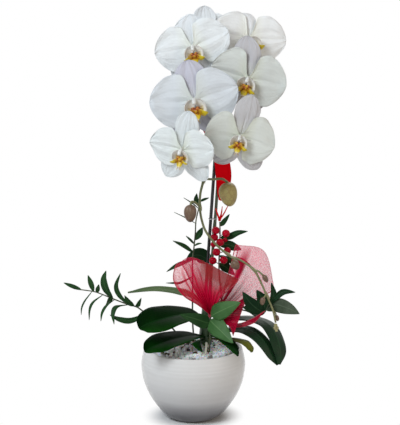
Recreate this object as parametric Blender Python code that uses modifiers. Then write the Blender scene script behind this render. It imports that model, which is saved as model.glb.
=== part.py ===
"""Potted orchid in a glazed ceramic pot, dressed with berries, greenery, ribbon and a net bow.

The frame has its origin at the centre of the pot's flat base, with +Z up.
The plant's face is turned to -Y. Shapes are written in millimetres and scaled by MM.
"""
import math

import bmesh
import bpy
from mathutils import Matrix, Vector, noise

MM = 0.001
GAP = 0.3                     # clearance between touching pieces

# Ceramic pot: outside radius against height, from the foot up to the rim
POT_OUTSIDE = [(33, 0), (42.3, 6.5), (52.3, 18.5), (62.7, 35), (70.1, 54), (73.2, 74),
               (72.2, 86), (69, 99)]
POT_WALL = 4.5
POT_FLOOR = 6
POT_HEIGHT = 100.5
POT_SEGMENTS = 40
POT_FLOOR_CORNER = 3          # the floor stops this far short of the lowest inside point

# Nursery pot, bark and gravel
NURSERY_FOOT_RADIUS = 33
NURSERY_TOP_RADIUS = 57
NURSERY_TOP = 90
NURSERY_WALL = 0.8
NURSERY_SEGMENTS = 32
BARK_SEGMENTS = 28
BARK_TOP_INSET = 0.1
GRAVEL_RADIUS = 58.5
GRAVEL_EDGE = 98
GRAVEL_CROWN = 106
GRAVEL_BUMP = 1.6
GRAVEL_BUMP_SCALE = 140       # noise cells per metre
GRAVEL_RINGS = 6
GRAVEL_SEGMENTS = 30
FILM_RADIUS = 59.9
FILM_THICKNESS = 0.5
FILM_STEPS = 36
FILM_HEIGHTS = (70, 90, 95)   # bottom edge, middle, and lowest place of the top edge
STEM_HOLE_RADIUS = 1.4        # hole in the gravel for a sprig's stem, before clearance
STEM_HOLE_DEPTH = 5

# The orchid's short stem
CROWN_AXIS = (18, 0)
CROWN_PROFILE = [(0, 160), (4, 158.5), (6.5, 152), (8, 140), (9, 122), (8.5, 106),
                 (7, 94), (0, 91)]
CROWN_SEGMENTS = 16
CROWN_WAIST = 120             # clearance is added upward above this height, downward below

# Support stake
STAKE_RADIUS = 2.3
STAKE_FOOT = (7.3, 24, 22)
STAKE_TOP = (37.5, 24, 470)

# Flower spike: up beside the stake, over at the top, and down in a cascade
SPIKE_RADIUS = 2.3
SPIKE_ROUTE = [(20, 6, 118), (22, 14, 150), (24.8, 19.2, 200), (28.4, 21.2, 250),
               (32, 22, 300), (33.6, 19.5, 335), (31, 17, 365), (26.5, 17, 404),
               (25, 20, 450), (27, 24, 500), (30, 25, 530), (34, 20, 544), (37, 13, 534),
               (37, 9, 512), (35, 2, 484), (32, -8, 456), (29, -20, 430), (25, -27, 402),
               (20, -29, 374), (14.5, -27, 342), (9.5, -26, 320), (9.2, -26, 299),
               (12.2, -26.5, 282), (18, -28, 267.7), (30.8, -31, 251.8), (47, -35.5, 238.5),
               (55, -38, 234), (65.2, -42.5, 231.4), (81.5, -49.5, 220.8), (90.7, -54, 205.5),
               (98.8, -59, 187.6), (107, -64, 168.9), (111.3, -66, 151)]
SPIKE_END_RADIUS = 1.3
SPIKE_TURN = 12               # the route's point where the spike starts to come down

# Clear clip round the stake and the spike
CLIP_HEIGHT = 279
CLIP_WIRE_RADIUS = 0.6
CLIP_ROOM = 1.0
CLIP_POINTS = 16

# Flowers: centre, yaw (+ faces right), pitch (+ faces down), roll (+ leans left), petal
# length, dorsal sepal's lean (+ right) and length, lateral sepals' length, and the point of
# the spike that the stalk leaves
FLOWERS = [
    ((0, -22, 518), -4, 4, 11, 52, 5, 43, 53, (37, 9, 512)),
    ((75, 4, 528), 12, 4, -9, 53, -28, 36, 52, (37, 13, 534)),
    ((74, -30, 478), -8, 8, -14, 52, -12, 58, 45, (35, 2, 484)),
    ((2, -50, 449), -4, 2, 11, 60, 0, 54, 55, (32, -8, 456)),
    ((-14, -80, 388), -24, 18, -4, 46, 14, 56, 52, (25, -27, 402)),
    ((63, -64, 403), -8, 8, -10, 47, 6, 57, 51, (29, -20, 430)),
    ((16, 47, 534), 176, -4, 0, 44, 0, 40, 37, (30, 25, 530)),
]
PETAL_THICKNESS = 0.8
HUB_RADIUS = 3.6
SEPAL_HALF_WIDTH = 0.32       # share of a petal's length
LATERAL_DIRECTION = 146       # degrees from straight up
SEPAL_DEPTH = 0.75
SEPAL_BEND = 5
SEPAL_RAYS = 27
PETAL_HALF_WIDTH = 0.6        # share of the petal's length
PETAL_DIRECTION = 82
PETAL_DEPTH = -0.4
PETAL_BEND = -1
PETAL_RAYS = 28
WHORL_RINGS = 2
STALK_RADIUS = 1.5
STALK_BACK = ((18, -5), (8, -1), (1.2, 0))    # behind the flower: distance back, height

# Lip and column of a flower whose petals are this long: stations (x, y, z, half width)
LIP_PETAL_LENGTH = 52
LIP_THICKNESS = 1.2
COLUMN_ROUTE = [(-6, 0), (-11, -2)]           # y and z of its points after the seat
COLUMN_SEAT = -1.15
COLUMN_RADIUS = 3
COLUMN_END_RADIUS = 2.6
LIP_MIDDLE = [(0, -4, -1, 1.5), (0, -8, -7, 3), (0, -14, -12, 5.5), (0, -18, -17, 5),
              (0, -20, -22, 1)]
LIP_SIDE = [(0, -7, -5, 1.5), (6, -9, -7, 5), (11, -13, -4, 6.5), (12, -16, 2, 2.5)]

# Buds: centre, half width, half height, lean of the axis, and the stalk's route to the bud
BUDS = [
    ((47, -36, 323), 13, 16.5, 8, [(14.5, -27, 342), (25, -31.5, 342), (38, -35.5, 343), (46, -36, 338)]),
    ((-3, -36, 297), 9, 12, -3, [(9.3, -26, 304), (4, -31, 310), (-1.5, -35, 312), (-3, -36, 306)]),
    ((57, -48, 228), 6.3, 7, 30, [(55, -38, 234), (56, -42, 234), (57, -46, 231)]),
    ((97, -57, 211), 3.8, 5.5, 30, [(81.5, -49.5, 220.8), (88, -52, 219.5), (94, -55, 214.5)]),
    ((94, -66, 182), 3.8, 5.5, -10, [(98.8, -59, 187.6), (97.5, -62, 188), (95, -65, 185)]),
    ((113, -60, 157), 3.2, 4.2, 20, [(107, -64, 168.9), (110.5, -62, 165), (112, -60.5, 159)]),
]
TIP_BUDS = [((111.6, -66.4, 148), 2.6), ((111, -66.5, 144.6), 2.4), ((113.8, -66, 144.6), 2.2),
            ((112.6, -67.3, 141.6), 2.0)]
BUD_STALK_RADIUS = 1.5
BUD_STALK_SHARE = 0.3         # a small bud's stalk, as a share of its half width
BUD_NARROWING = 0.12

# Leaves of the orchid: stations (x, y, z, half width) and the blade's direction across
# its length, at the base and at the tip
ORCHID_LEAVES = {
    "leaf_left_upper": (
        [(18, 0, 140, 4), (2, -16, 151, 13), (-22, -36, 153.5, 20), (-43, -53, 152.5, 22.5),
         (-59, -66, 150.5, 19), (-67, -72, 148, 13), (-71, -75, 146, 3)],
        (-0.5, 0.8, 0.2), (0.05, 0.67, 0.74)),
    "leaf_left_lower": (
        [(18, -1, 116, 4), (-2, -22, 122, 12.5), (-25, -45, 123, 18), (-43, -60, 121, 18.5),
         (-54, -69, 119, 14), (-60, -74, 116.5, 8), (-63, -77, 115, 2)],
        (-0.5, 0.8, 0.1), (-0.1, 0.75, 0.62)),
    "leaf_left_back": (
        [(18, 3, 152, 3), (6, 12, 164, 6.5), (-8, 18, 171, 8), (-25, 24, 174, 7),
         (-48, 28, 176, 5.5), (-72, 31, 174, 4), (-93, 33, 170, 1)],
        (-0.3, 0.9, 0.2), (0, 0.8, 0.6)),
    "leaf_right_arch": (
        [(18, -1, 122, 4), (36, -7, 126, 8), (54, -14, 131, 11), (70, -22, 132, 12),
         (85, -30, 126, 11.5), (97, -36, 114, 10), (107, -40, 99, 8), (114, -42, 86, 2)],
        (0.3, 0.9, 0.1), (0.8, 0.5, 0.3)),
    "leaf_right_outer": (
        [(20, 1, 136, 4), (40, 2, 140, 8), (64, -2, 144, 11), (86, -9, 143.5, 12),
         (103, -19, 137, 12.5), (113, -32, 123, 12), (118, -42, 105, 9.5), (116, -47, 88, 2)],
        (0.1, 1, 0.1), (0.95, 0.3, 0)),
    "leaf_yellow": (
        [(19, -3, 113, 2.5), (36, -15, 117, 5), (54, -29, 120, 7), (69, -40, 119, 7.5),
         (77, -46, 112, 6), (79, -48, 106, 1.5)],
        (0.5, 0.8, 0.1), (0.8, 0.6, 0)),
    "leaf_over_rim": (
        [(20, -4, 117, 2.5), (31, -24, 122.5, 4.5), (42, -44, 123, 6.5), (52, -56, 118, 6.5),
         (58, -63, 110, 4), (60, -65, 105, 1)],
        (0.8, 0.5, 0.1), (0.8, -0.4, 0.4)),
    "leaf_basal": (
        [(15, -4, 112, 2.5), (9, -22, 116, 5), (5, -38, 118, 6), (8, -50, 114, 4),
         (13, -56, 109, 1)],
        (0.9, 0.2, 0.1), (0.9, 0.3, 0.3)),
}
LEAF_THICKNESS = 1.6
LEAF_FOLD = 0.12
AERIAL_ROOT = [(18, -5, 103), (18, -22, 111), (18.5, -38, 114.5), (18, -48, 112), (17, -53, 104)]
ROOTS = [[(18, 0, 96), (30, 6, 78), (36, 10, 52), (30, 12, 26)],
         [(18, 0, 96), (6, 8, 80), (-12, 14, 56), (-16, 10, 28)],
         [(18, 0, 96), (20, -12, 80), (16, -28, 56), (6, -28, 26)],
         [(18, 0, 96), (34, -9, 82), (38, -14, 62), (30, -20, 34)]]
ROOT_RADIUS = 2.5
ROOT_TAPER = 0.7
AERIAL_ROOT_RADIUS = 1.8
AERIAL_ROOT_END_RADIUS = 1.5

# Cut greenery: each sprig has a stem, and leaves as (stations, direction across, half width)
SPRIG_STEM_RADIUS = 1.1
SPRIG_STEM_TAPER = 0.6
SMALL_LEAF_THICKNESS = 0.8
SMALL_LEAF_FOLD = 0.15
SMALL_LEAF_TIP = 0.4          # half width at a small leaf's two ends
SPRIG_LEFT_STEM = [(-12, 12, 91), (-20, 11, 112), (-36, 7, 133), (-52, 3, 143), (-66, -3, 150),
                   (-78, -4, 159), (-90, -6, 163), (-109, -8, 171), (-127, -10, 179),
                   (-138, -11, 183), (-157, -12, 186)]
SPRIG_LEFT_LEAVES = [
    ([(-138, -11, 183), (-142, -9, 194), (-146, -6, 205)], (1, 0.3, 0), 3),
    ([(-132, -10.5, 181), (-132, -15, 188), (-130, -20, 195)], (1, 0.3, 0), 2.2),
    ([(-118, -9, 175), (-121, -7, 193), (-120, -4, 210)], (1, -0.2, 0), 4.8),
    ([(-111, -8, 172), (-116, -16, 174), (-120, -25, 168)], (0.2, 0.3, 1), 4.5),
    ([(-90, -6, 163), (-96, -4, 184), (-95, -2, 206)], (1, -0.2, 0), 4),
    ([(-79, -4, 159), (-83, -11, 168), (-87, -16, 178)], (1, 0.5, 0.2), 3.2),
    ([(-67, -3, 151), (-68, -8, 162), (-64, -13, 173)], (1, 0.3, 0), 3.8),
    ([(-141, -11, 183), (-149, -18, 170), (-154, -24, 153)], (1, -0.3, -0.3), 4),
    ([(-125, -10, 178), (-134, -19, 166), (-142, -26, 146)], (1, -0.3, -0.3), 4),
    ([(-104, -8, 169), (-115, -17, 160), (-124, -26, 145)], (1, -0.3, -0.3), 4),
    ([(-91, -6, 163), (-104, -15, 162), (-108, -22, 153), (-106, -28, 141)], (1, -0.3, -0.1), 3.6),
    ([(-64, -2, 149), (-86, -12, 142), (-104, -18, 146), (-119, -22, 156)], (0.2, 0.3, 1), 3.8),
    ([(-155, -12, 186), (-167, -14, 191), (-179, -14, 196)], (-0.3, 0.4, 1), 3),
]
SPRIG_UPRIGHT_STEM = [(2, 27, 91), (-1, 26, 130), (-1, 25, 180), (-1, 15, 219), (1, 10, 240),
                      (3, 7, 262), (4, 4, 280), (8, 0, 300), (12, -3, 332)]
SPRIG_UPRIGHT_LEAVES = [
    ([(3, 8, 252), (9, 7, 261), (13, 4, 270)], (0.9, -0.2, -0.4), 4.5),
    ([(1.5, 9.5, 245), (-4, 6, 252), (-10, 4, 258)], (0.5, 0.5, 0.7), 1.8),
    ([(1.5, 10, 243), (6, 8, 246), (12, 7, 247)], (0, 0.5, 0.8), 1.6),
    ([(-1, 11.5, 233), (-13, 4, 244), (-28, -6, 253)], (0.5, 0.3, 0.8), 3),
    ([(9, -1, 306), (15, 0, 310), (22, 2, 312)], (0, 0.5, 0.8), 2),
    ([(8, 0, 302), (4, -2, 310), (5, -5, 319)], (0.9, 0.3, 0), 3.6),
    ([(4, 5, 276), (-8, 0, 283), (-26, -6, 293)], (0, 0.5, 0.8), 0.9),
    ([(8, 0, 298), (0, -2, 304), (-13, -5, 313)], (0, 0.5, 0.8), 1.1),
    ([(-1, 12, 221), (-16, 9, 218), (-26, 5, 214), (-37, 0, 208)], (0, 0.5, 0.8), 3.2),
    ([(-1, 13.5, 192), (-18, 10, 190), (-27, 8, 190), (-38, 4, 191)], (0, 0.5, 0.8), 1.8),
]
SPRIG_FRONT_STEM = [(22, -34, 91), (23, -38, 120), (23, -43, 146), (25, -46, 157)]
SPRIG_FRONT_LEAVES = [
    ([(25, -46, 156), (31, -51, 161), (45, -59, 170), (64, -66, 180)], (-0.4, 0.25, 0.88), 12),
    ([(23.5, -43.5, 150), (27, -50, 147), (38, -62, 139), (54, -76, 126)], (0.6, 0.1, 0.8), 13),
    ([(23, -43, 146), (16, -48, 148), (2, -60, 156), (-18, -70, 164)], (0.3, 0.25, 0.9), 9.5),
]
SPRIG_RIGHT_STEM = [(44, 16, 91), (50, 16, 120), (58, 13, 148), (72, -6, 154), (88, -30, 153),
                    (97, -45, 160), (103, -50, 174)]
SPRIG_RIGHT_LEAVES = [
    ([(103, -50, 172), (109, -51, 186), (106, -52, 204)], (1, 0.2, 0), 4.5),
    ([(101, -48, 168), (112, -52, 184), (123, -55, 192), (138, -58, 192)], (0.2, 0.4, 0.9), 5),
    ([(100, -47, 165), (112, -56, 174), (128, -63, 171), (143, -70, 165)], (0.25, 0.35, 0.9), 10),
    ([(97, -45, 160), (86, -50, 168), (76, -53, 178), (67, -56, 192)], (0.7, 0.1, 0.7), 9),
    ([(99, -47, 164), (96, -50, 174), (92, -52, 184), (86, -53, 194)], (0.95, 0.1, 0.3), 8),
    ([(91, -35, 155), (84, -46, 160), (77, -52, 167), (67, -56, 171)], (-0.3, 0.1, 0.9), 6.5),
]
LEAF_BEHIND_STEM = [(8, 34, 91), (14, 36, 150), (22, 34, 196), (24, 33, 214)]
LEAF_BEHIND_LEAF = ([(24, 33, 213), (16, 32, 222), (4, 30, 226), (-10, 27, 220)],
                    (0.2, 0.4, 0.9), 11)

# Berry branch: stem, berries as (centre, radius), and leaves
BERRY_STEM = [(40, 14, 91), (41, 14, 150), (36, -2, 205), (36, -4, 239), (37, -3, 262), (36.5, -3, 279)]
BERRIES = [((31, -9, 268), 5.4), ((45, -10, 264), 5.4), ((29, -8, 258), 5.3), ((44, 0, 254), 4.2),
           ((37, -13, 252), 5.4), ((28, -2, 247), 4.1), ((32, -12, 238), 5.4), ((47, -7, 239), 5.1),
           ((27, -12, 226), 5.3), ((42, -13, 227), 5.4)]
BERRY_STEM_RADIUS = 1.4
BERRY_STEM_END_RADIUS = 1.0
BERRY_STALK_RADIUS = 0.8
BERRY_STALK_DROP = 5          # a berry's stalk leaves the stem this far below the berry
BERRY_LEAVES = [
    ([(37, -3, 257), (49, -3, 258), (61, -6, 264), (75, -10, 267)], (0, 0.3, 0.95), 4.6),
    ([(37, -3, 272), (42, -2, 279), (50, -5, 290)], (0.8, 0.1, -0.5), 3.6),
    ([(36.5, -3.5, 246), (48, 2, 246), (58, 4, 242), (67, 5, 238)], (0, 0.3, 0.95), 6.5),
    ([(36, -4, 220), (46, 0, 214), (58, 5, 202)], (0.5, 0.2, 0.8), 7),
    ([(36, -4, 230), (50, -6, 226), (66, -2, 224), (80, 0, 217)], (0.2, 0.3, 0.9), 5),
]

# Red net bow: each strip of net fans out from the tie. It is drawn by lines along it, from one
# wired edge to the other; a loop's lines go up its front, over the crest and down its back
BOW_THICKNESS = 0.8
BOW_SPANS_ACROSS = 4          # spans of the mesh between a strip's wired edges
BOW_TIE_CENTRE = (24, -40.2, 156)
BOW_TIE_RADIUS = 3.6
BOW_LOOP_LEFT = (
    [(22.5, -42, 157), (8, -47, 170), (-13, -55, 186), (-26, -58, 207), (-24, -54, 226),
     (-18, -44, 229), (-12, -34, 219), (-4, -27, 200), (8, -29, 177), (22.5, -39.5, 157)],
    [(23.5, -42.2, 157.5), (18, -48, 176), (8, -56, 202), (2, -58, 224), (1, -52, 235.5),
     (4, -40, 234), (9, -30, 218), (15, -26, 196), (20, -30, 173), (23.5, -39, 157.5)],
    [(24.6, -42, 157.4), (29, -43, 167), (40, -46, 184), (53, -50, 197), (61, -48, 206),
     (58, -40, 206), (50, -32, 198), (40, -29, 184), (30, -33, 168), (24.6, -39.4, 157.4)])
BOW_LOOP_RIGHT = (
    [(26, -40, 157.3), (36, -26, 176), (45, -22, 200), (52, -22, 226), (58, -18, 249),
     (61, -14, 243), (55, -12, 216), (47, -13, 194), (38, -18, 173), (26, -38, 157.3)],
    [(26.3, -40, 156.7), (52, -34, 176), (72, -38, 202), (87, -36, 228), (97, -27, 241),
     (95, -16, 236), (84, -10, 216), (70, -10, 195), (50, -18, 172), (26.3, -38, 156.7)],
    [(26.5, -40, 156.1), (52, -37, 163), (78, -38, 169), (100, -36, 174), (112, -28, 186),
     (108, -18, 184), (96, -14, 177), (74, -18, 168), (50, -27, 161), (26.5, -38, 156.1)])
BOW_TAIL = (
    [(25, -41, 156), (34, -43, 160), (45, -46, 167), (62, -50, 178), (73, -51, 186)],
    [(25, -41, 155), (30, -43, 151), (39, -47, 147), (49, -51, 143), (54, -55, 131)])
BOW_TAIL_SMALL = (
    [(25, -39, 155), (40, -38, 150), (60, -44, 148), (80, -53, 155), (97, -57, 166)],
    [(25, -39, 154), (40, -37, 145), (60, -43, 140), (80, -52, 147), (90, -56, 157)])

# Satin ribbon: stations (x, y, z, half width), tied round the stake and the spike
RIBBON_TAIL = [(12, 13, 424, 5), (18, 12, 411, 7), (28, 11.8, 394, 8), (38, 9, 370, 10),
               (42, 4, 342, 11), (40, -1, 318, 7), (37, -3, 309, 2)]
RIBBON_KNOT_HEIGHT = 394
RIBBON_KNOT_RADIUS = 7.8
RIBBON_THICKNESS = 0.8
STREAMER_KNOT = ((36.5, -3, 281.8), 2.1)
STREAMER_RADIUS = 1.0
STREAMER_END_RADIUS = 0.5
STREAMERS = [[(36.5, -3, 282), (39, -4, 292), (40, -6, 301)],
             [(36.5, -3, 282), (42, -7, 291), (47, -10, 301), (50, -10, 307)],
             [(36.5, -3, 282), (33, -6, 292), (31, -8, 299)]]


# ---------------------------------------------------------------- scene and materials
def clear_scene():
    for obj in list(bpy.data.objects):
        bpy.data.objects.remove(obj, do_unlink=True)


def new_collection(name):
    collection = bpy.data.collections.new(name)
    bpy.context.scene.collection.children.link(collection)
    return collection


def make_material(name, colour, roughness, metallic=0.0, alpha=1.0):
    material = bpy.data.materials.new(name)
    material.use_nodes = True
    shader = material.node_tree.nodes["Principled BSDF"]
    shader.inputs["Base Color"].default_value = (*colour, 1.0)
    shader.inputs["Roughness"].default_value = roughness
    shader.inputs["Metallic"].default_value = metallic
    shader.inputs["Alpha"].default_value = alpha
    return material


def place(name, data, material, collection):
    """Make an object of a mesh or curve, in its collection, with its own material."""
    obj = bpy.data.objects.new(name, data)
    data.materials.append(material)
    collection.objects.link(obj)
    return obj


# ---------------------------------------------------------------- curves and paths
def smooth_route(route, per_span):
    """Points on a Catmull-Rom curve through the route; each point may carry extra values."""
    points = [Vector(p) for p in route]
    ends = [2 * points[0] - points[1]] + points + [2 * points[-1] - points[-2]]
    result = []
    for i in range(1, len(ends) - 2):
        a, b, c, d = ends[i - 1:i + 3]
        for k in range(per_span):
            t = k / per_span
            result.append(0.5 * (2 * b + (c - a) * t + (2 * a - 5 * b + 4 * c - d) * t ** 2
                                 + (3 * b - a - 3 * c + d) * t ** 3))
    result.append(points[-1])
    return result


def mesh_from(obj):
    """The mesh that the object's modifiers, or its curve, give."""
    evaluated = obj.evaluated_get(bpy.context.evaluated_depsgraph_get())
    return bpy.data.meshes.new_from_object(evaluated)


def stem(name, route, radius, end_radius, material, collection, per_span=2):
    """A round stem along a smooth route, as a closed mesh; a thin one has six sides."""
    points = smooth_route(route, per_span)
    curve = bpy.data.curves.new(name, "CURVE")
    curve.dimensions = "3D"
    curve.bevel_depth = MM
    curve.bevel_resolution = 2 if radius > 1.6 else 1
    curve.use_fill_caps = True
    spline = curve.splines.new("POLY")
    spline.points.add(len(points) - 1)
    for i, point in enumerate(points):
        spline.points[i].co = (*(point * MM), 1)
        spline.points[i].radius = radius + (end_radius - radius) * i / (len(points) - 1)
    guide = place(name + "_route", curve, material, collection)
    mesh = mesh_from(guide)
    bpy.data.objects.remove(guide, do_unlink=True)
    bm = bmesh.new()
    bm.from_mesh(mesh)
    bmesh.ops.remove_doubles(bm, verts=bm.verts, dist=0.00001)
    bm.to_mesh(mesh)
    bm.free()
    mesh.materials.clear()
    mesh.shade_smooth()
    return place(name, mesh, material, collection)


# ---------------------------------------------------------------- booleans
def boolean(obj, other, operation):
    modifier = obj.modifiers.new(operation.lower(), "BOOLEAN")
    modifier.operation = operation
    modifier.solver = "EXACT"
    modifier.object = other


def settle(obj):
    """Turn the object's modifiers into its mesh."""
    mesh = mesh_from(obj)
    obj.modifiers.clear()
    obj.data = mesh


def absorb(obj, others):
    """Join other closed pieces into this one, as one solid."""
    for other in others:
        boolean(obj, other, "UNION")
    settle(obj)
    for other in others:
        bpy.data.objects.remove(other, do_unlink=True)


def as_cutter(obj):
    obj.hide_render = True
    obj.display_type = "WIRE"
    return obj


# ---------------------------------------------------------------- shapes
def turned(name, profile, segments, material, collection):
    """A solid of revolution; the profile runs from the axis, up the inside, down the outside."""
    bm = bmesh.new()
    verts = [bm.verts.new((r * MM, 0, z * MM)) for r, z in profile]
    for first, second in zip(verts, verts[1:]):
        bm.edges.new((first, second))
    mesh = bpy.data.meshes.new(name)
    bm.to_mesh(mesh)
    bm.free()
    obj = place(name, mesh, material, collection)
    screw = obj.modifiers.new("turn", "SCREW")
    screw.steps = segments
    screw.render_steps = segments
    screw.use_merge_vertices = True
    screw.merge_threshold = 0.00001
    screw.use_smooth_shade = True
    return obj


def grid_mesh(name, rows):
    """An open surface through rows of points."""
    bm = bmesh.new()
    grid = [[bm.verts.new(point * MM) for point in row] for row in rows]
    for upper, lower in zip(grid, grid[1:]):
        for i in range(len(upper) - 1):
            bm.faces.new((upper[i], upper[i + 1], lower[i + 1], lower[i]))
    mesh = bpy.data.meshes.new(name)
    bm.to_mesh(mesh)
    bm.free()
    mesh.shade_smooth()
    return mesh


def thicken(obj, thickness):
    shell = obj.modifiers.new("thickness", "SOLIDIFY")
    shell.thickness = thickness * MM
    shell.offset = 0
    return obj


def blade(name, stations, across_start, across_end, fold, thickness, material, collection,
          per_span=2, columns=4):
    """A leaf blade along its stations (x, y, z, half width), folded a little at the midrib."""
    path = smooth_route(stations, per_span)
    centres = [Vector(p[:3]) for p in path]
    rows = []
    for i, centre in enumerate(centres):
        along = centres[min(i + 1, len(centres) - 1)] - centres[max(i - 1, 0)]
        along.normalize()
        across = Vector(across_start).lerp(Vector(across_end), i / (len(centres) - 1))
        across = (across - along * across.dot(along)).normalized()
        normal = across.cross(along)
        half = max(path[i][3], 0.3)
        row = []
        for k in range(columns + 1):
            s = 2 * k / columns - 1
            row.append(centre + across * half * s + normal * fold * half * abs(s))
        rows.append(row)
    return thicken(place(name, grid_mesh(name, rows), material, collection), thickness)


def small_leaf(name, route, across, half_width, material, collection):
    """A pointed leaf on a sprig, widest a little before its middle."""
    points = smooth_route(route, 2)
    last = len(points) - 1
    stations = []
    for i, point in enumerate(points):
        t = i / last
        swell = math.sin(math.pi * t ** 0.85) ** 0.8 if 0 < i < last else 0
        stations.append((*point, SMALL_LEAF_TIP + (half_width - SMALL_LEAF_TIP) * swell))
    leaf = blade(name, stations, across, across, SMALL_LEAF_FOLD, SMALL_LEAF_THICKNESS, material,
                 collection, per_span=1, columns=2)
    settle(leaf)
    return leaf


def egg(name, centre, half_width, half_height, lean, material, collection):
    """A bud: a round body a little narrower at its free lower end."""
    bm = bmesh.new()
    segments = 12 if half_width > 7 else 8
    bmesh.ops.create_uvsphere(bm, u_segments=segments, v_segments=segments - 3, radius=1)
    for vert in bm.verts:
        narrow = 1 + BUD_NARROWING * vert.co.z
        vert.co = Vector((vert.co.x * half_width * narrow, vert.co.y * half_width * narrow,
                          vert.co.z * half_height)) * MM
    mesh = bpy.data.meshes.new(name)
    bm.to_mesh(mesh)
    bm.free()
    mesh.shade_smooth()
    obj = place(name, mesh, material, collection)
    obj.location = Vector(centre) * MM
    obj.rotation_euler = (0, math.radians(-lean), 0)
    return obj


def ball(name, centre, radius, material, collection):
    bm = bmesh.new()
    bmesh.ops.create_icosphere(bm, subdivisions=2 if radius > 2.7 else 1, radius=radius * MM)
    mesh = bpy.data.meshes.new(name)
    bm.to_mesh(mesh)
    bm.free()
    mesh.shade_smooth()
    obj = place(name, mesh, material, collection)
    obj.location = Vector(centre) * MM
    return obj


def lobe_reach(angle, length, half_width):
    """Distance from the hub to the edge of an oval lobe that grows out of the hub."""
    along = math.cos(angle)
    if along <= 0:
        return 0
    side = math.sin(angle)
    half = length / 2
    return 2 * half * half_width ** 2 * along / (half_width ** 2 * along ** 2 + half ** 2 * side ** 2)


def whorl(name, lobes, depth, bend, rays, material, collection):
    """A flower's whorl as one sheet: lobes (direction, length, half width) round a hub.

    Directions are in degrees from straight up, to the right. The sheet lies at this depth
    behind the flower's face and bends back by this much at the tips.
    """
    longest = max(length for _, length, _ in lobes)
    bm = bmesh.new()
    middle = bm.verts.new((0, depth * MM, 0))
    loops = []
    for ring in range(1, WHORL_RINGS + 1):
        loop = []
        for ray in range(rays):
            angle = 2 * math.pi * ray / rays
            reach = max(lobe_reach(math.remainder(angle - math.radians(direction), 2 * math.pi),
                                   length, half_width)
                        for direction, length, half_width in lobes)
            radius = max(reach, HUB_RADIUS) * ring / WHORL_RINGS
            back = depth + bend * (radius / longest) ** 2
            loop.append(bm.verts.new(Vector((radius * math.sin(angle), back,
                                             radius * math.cos(angle))) * MM))
        loops.append(loop)
    for ray in range(rays):
        following = (ray + 1) % rays
        bm.faces.new((middle, loops[0][ray], loops[0][following]))
        for inner, outer in zip(loops, loops[1:]):
            bm.faces.new((inner[ray], outer[ray], outer[following], inner[following]))
    mesh = bpy.data.meshes.new(name)
    bm.to_mesh(mesh)
    bm.free()
    mesh.shade_smooth()
    return thicken(place(name, mesh, material, collection), PETAL_THICKNESS)


def band(name, lines, material, collection, per_span=2):
    """A strip of cloth through the lines that run along it, from edge to edge."""
    smoothed = [smooth_route(line, per_span) for line in lines]
    spans = BOW_SPANS_ACROSS // (len(lines) - 1)
    rows = [smooth_route(points, spans) for points in zip(*smoothed)]
    return thicken(place(name, grid_mesh(name, rows), material, collection), BOW_THICKNESS)


# ---------------------------------------------------------------- pot and filling
def pot_profiles():
    outside = smooth_route([(r, z, 0) for r, z in POT_OUTSIDE], 2)
    outer = [(r, z) for r, z, _ in outside]
    inner = [(r - POT_WALL, z) for r, z in outer[2::2]]
    rim_radius = outer[-1][0]
    rim = [(rim_radius - POT_WALL * 0.75, POT_HEIGHT), (rim_radius - POT_WALL * 0.25, POT_HEIGHT)]
    floor_radius = inner[0][0] - POT_FLOOR_CORNER
    return [(0, POT_FLOOR), (floor_radius, POT_FLOOR)] + inner + rim + outer[::-1] + [(0, 0)]


def make_gravel(material, collection):
    """A bed of chips with a low crown, its top roughened by seeded noise."""
    profile = [(0, GRAVEL_CROWN)]
    for i in range(1, GRAVEL_RINGS + 1):
        t = i / GRAVEL_RINGS
        profile.append((GRAVEL_RADIUS * t, GRAVEL_CROWN + (GRAVEL_EDGE - GRAVEL_CROWN) * t ** 2))
    profile += [(GRAVEL_RADIUS - 1, NURSERY_TOP + GAP), (0, NURSERY_TOP + GAP)]
    gravel = turned("gravel", profile, GRAVEL_SEGMENTS, material, collection)
    settle(gravel)
    for vert in gravel.data.vertices:
        x, y, z = vert.co
        if z > (GRAVEL_EDGE + GAP) * MM:
            vert.co.z += GRAVEL_BUMP * MM * noise.noise(Vector((x, y, 0)) * GRAVEL_BUMP_SCALE)
    return gravel


def make_film(material, collection):
    """Clear film between the filling and the pot, crumpled, highest on the right."""
    low, middle, high = FILM_HEIGHTS
    rows = []
    for i in range(FILM_STEPS):
        angle = 2 * math.pi * i / FILM_STEPS
        ripple = 0.8 * math.sin(11 * angle)
        lift = 7 + 6 * max(0, math.cos(angle + 0.6)) + 1.5 * math.sin(7 * angle)
        direction = Vector((math.cos(angle), math.sin(angle), 0))
        rows.append([direction * (FILM_RADIUS + ripple * t) + Vector((0, 0, z))
                     for t, z in ((0, low), (0.5, middle), (1, high + lift))])
    bm = bmesh.new()
    grid = [[bm.verts.new(p * MM) for p in row] for row in rows]
    for i, row in enumerate(grid):
        following = grid[(i + 1) % FILM_STEPS]
        for k in range(len(row) - 1):
            bm.faces.new((row[k], following[k], following[k + 1], row[k + 1]))
    mesh = bpy.data.meshes.new("liner_film")
    bm.to_mesh(mesh)
    bm.free()
    mesh.shade_smooth()
    return thicken(place("liner_film", mesh, material, collection), FILM_THICKNESS)


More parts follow.
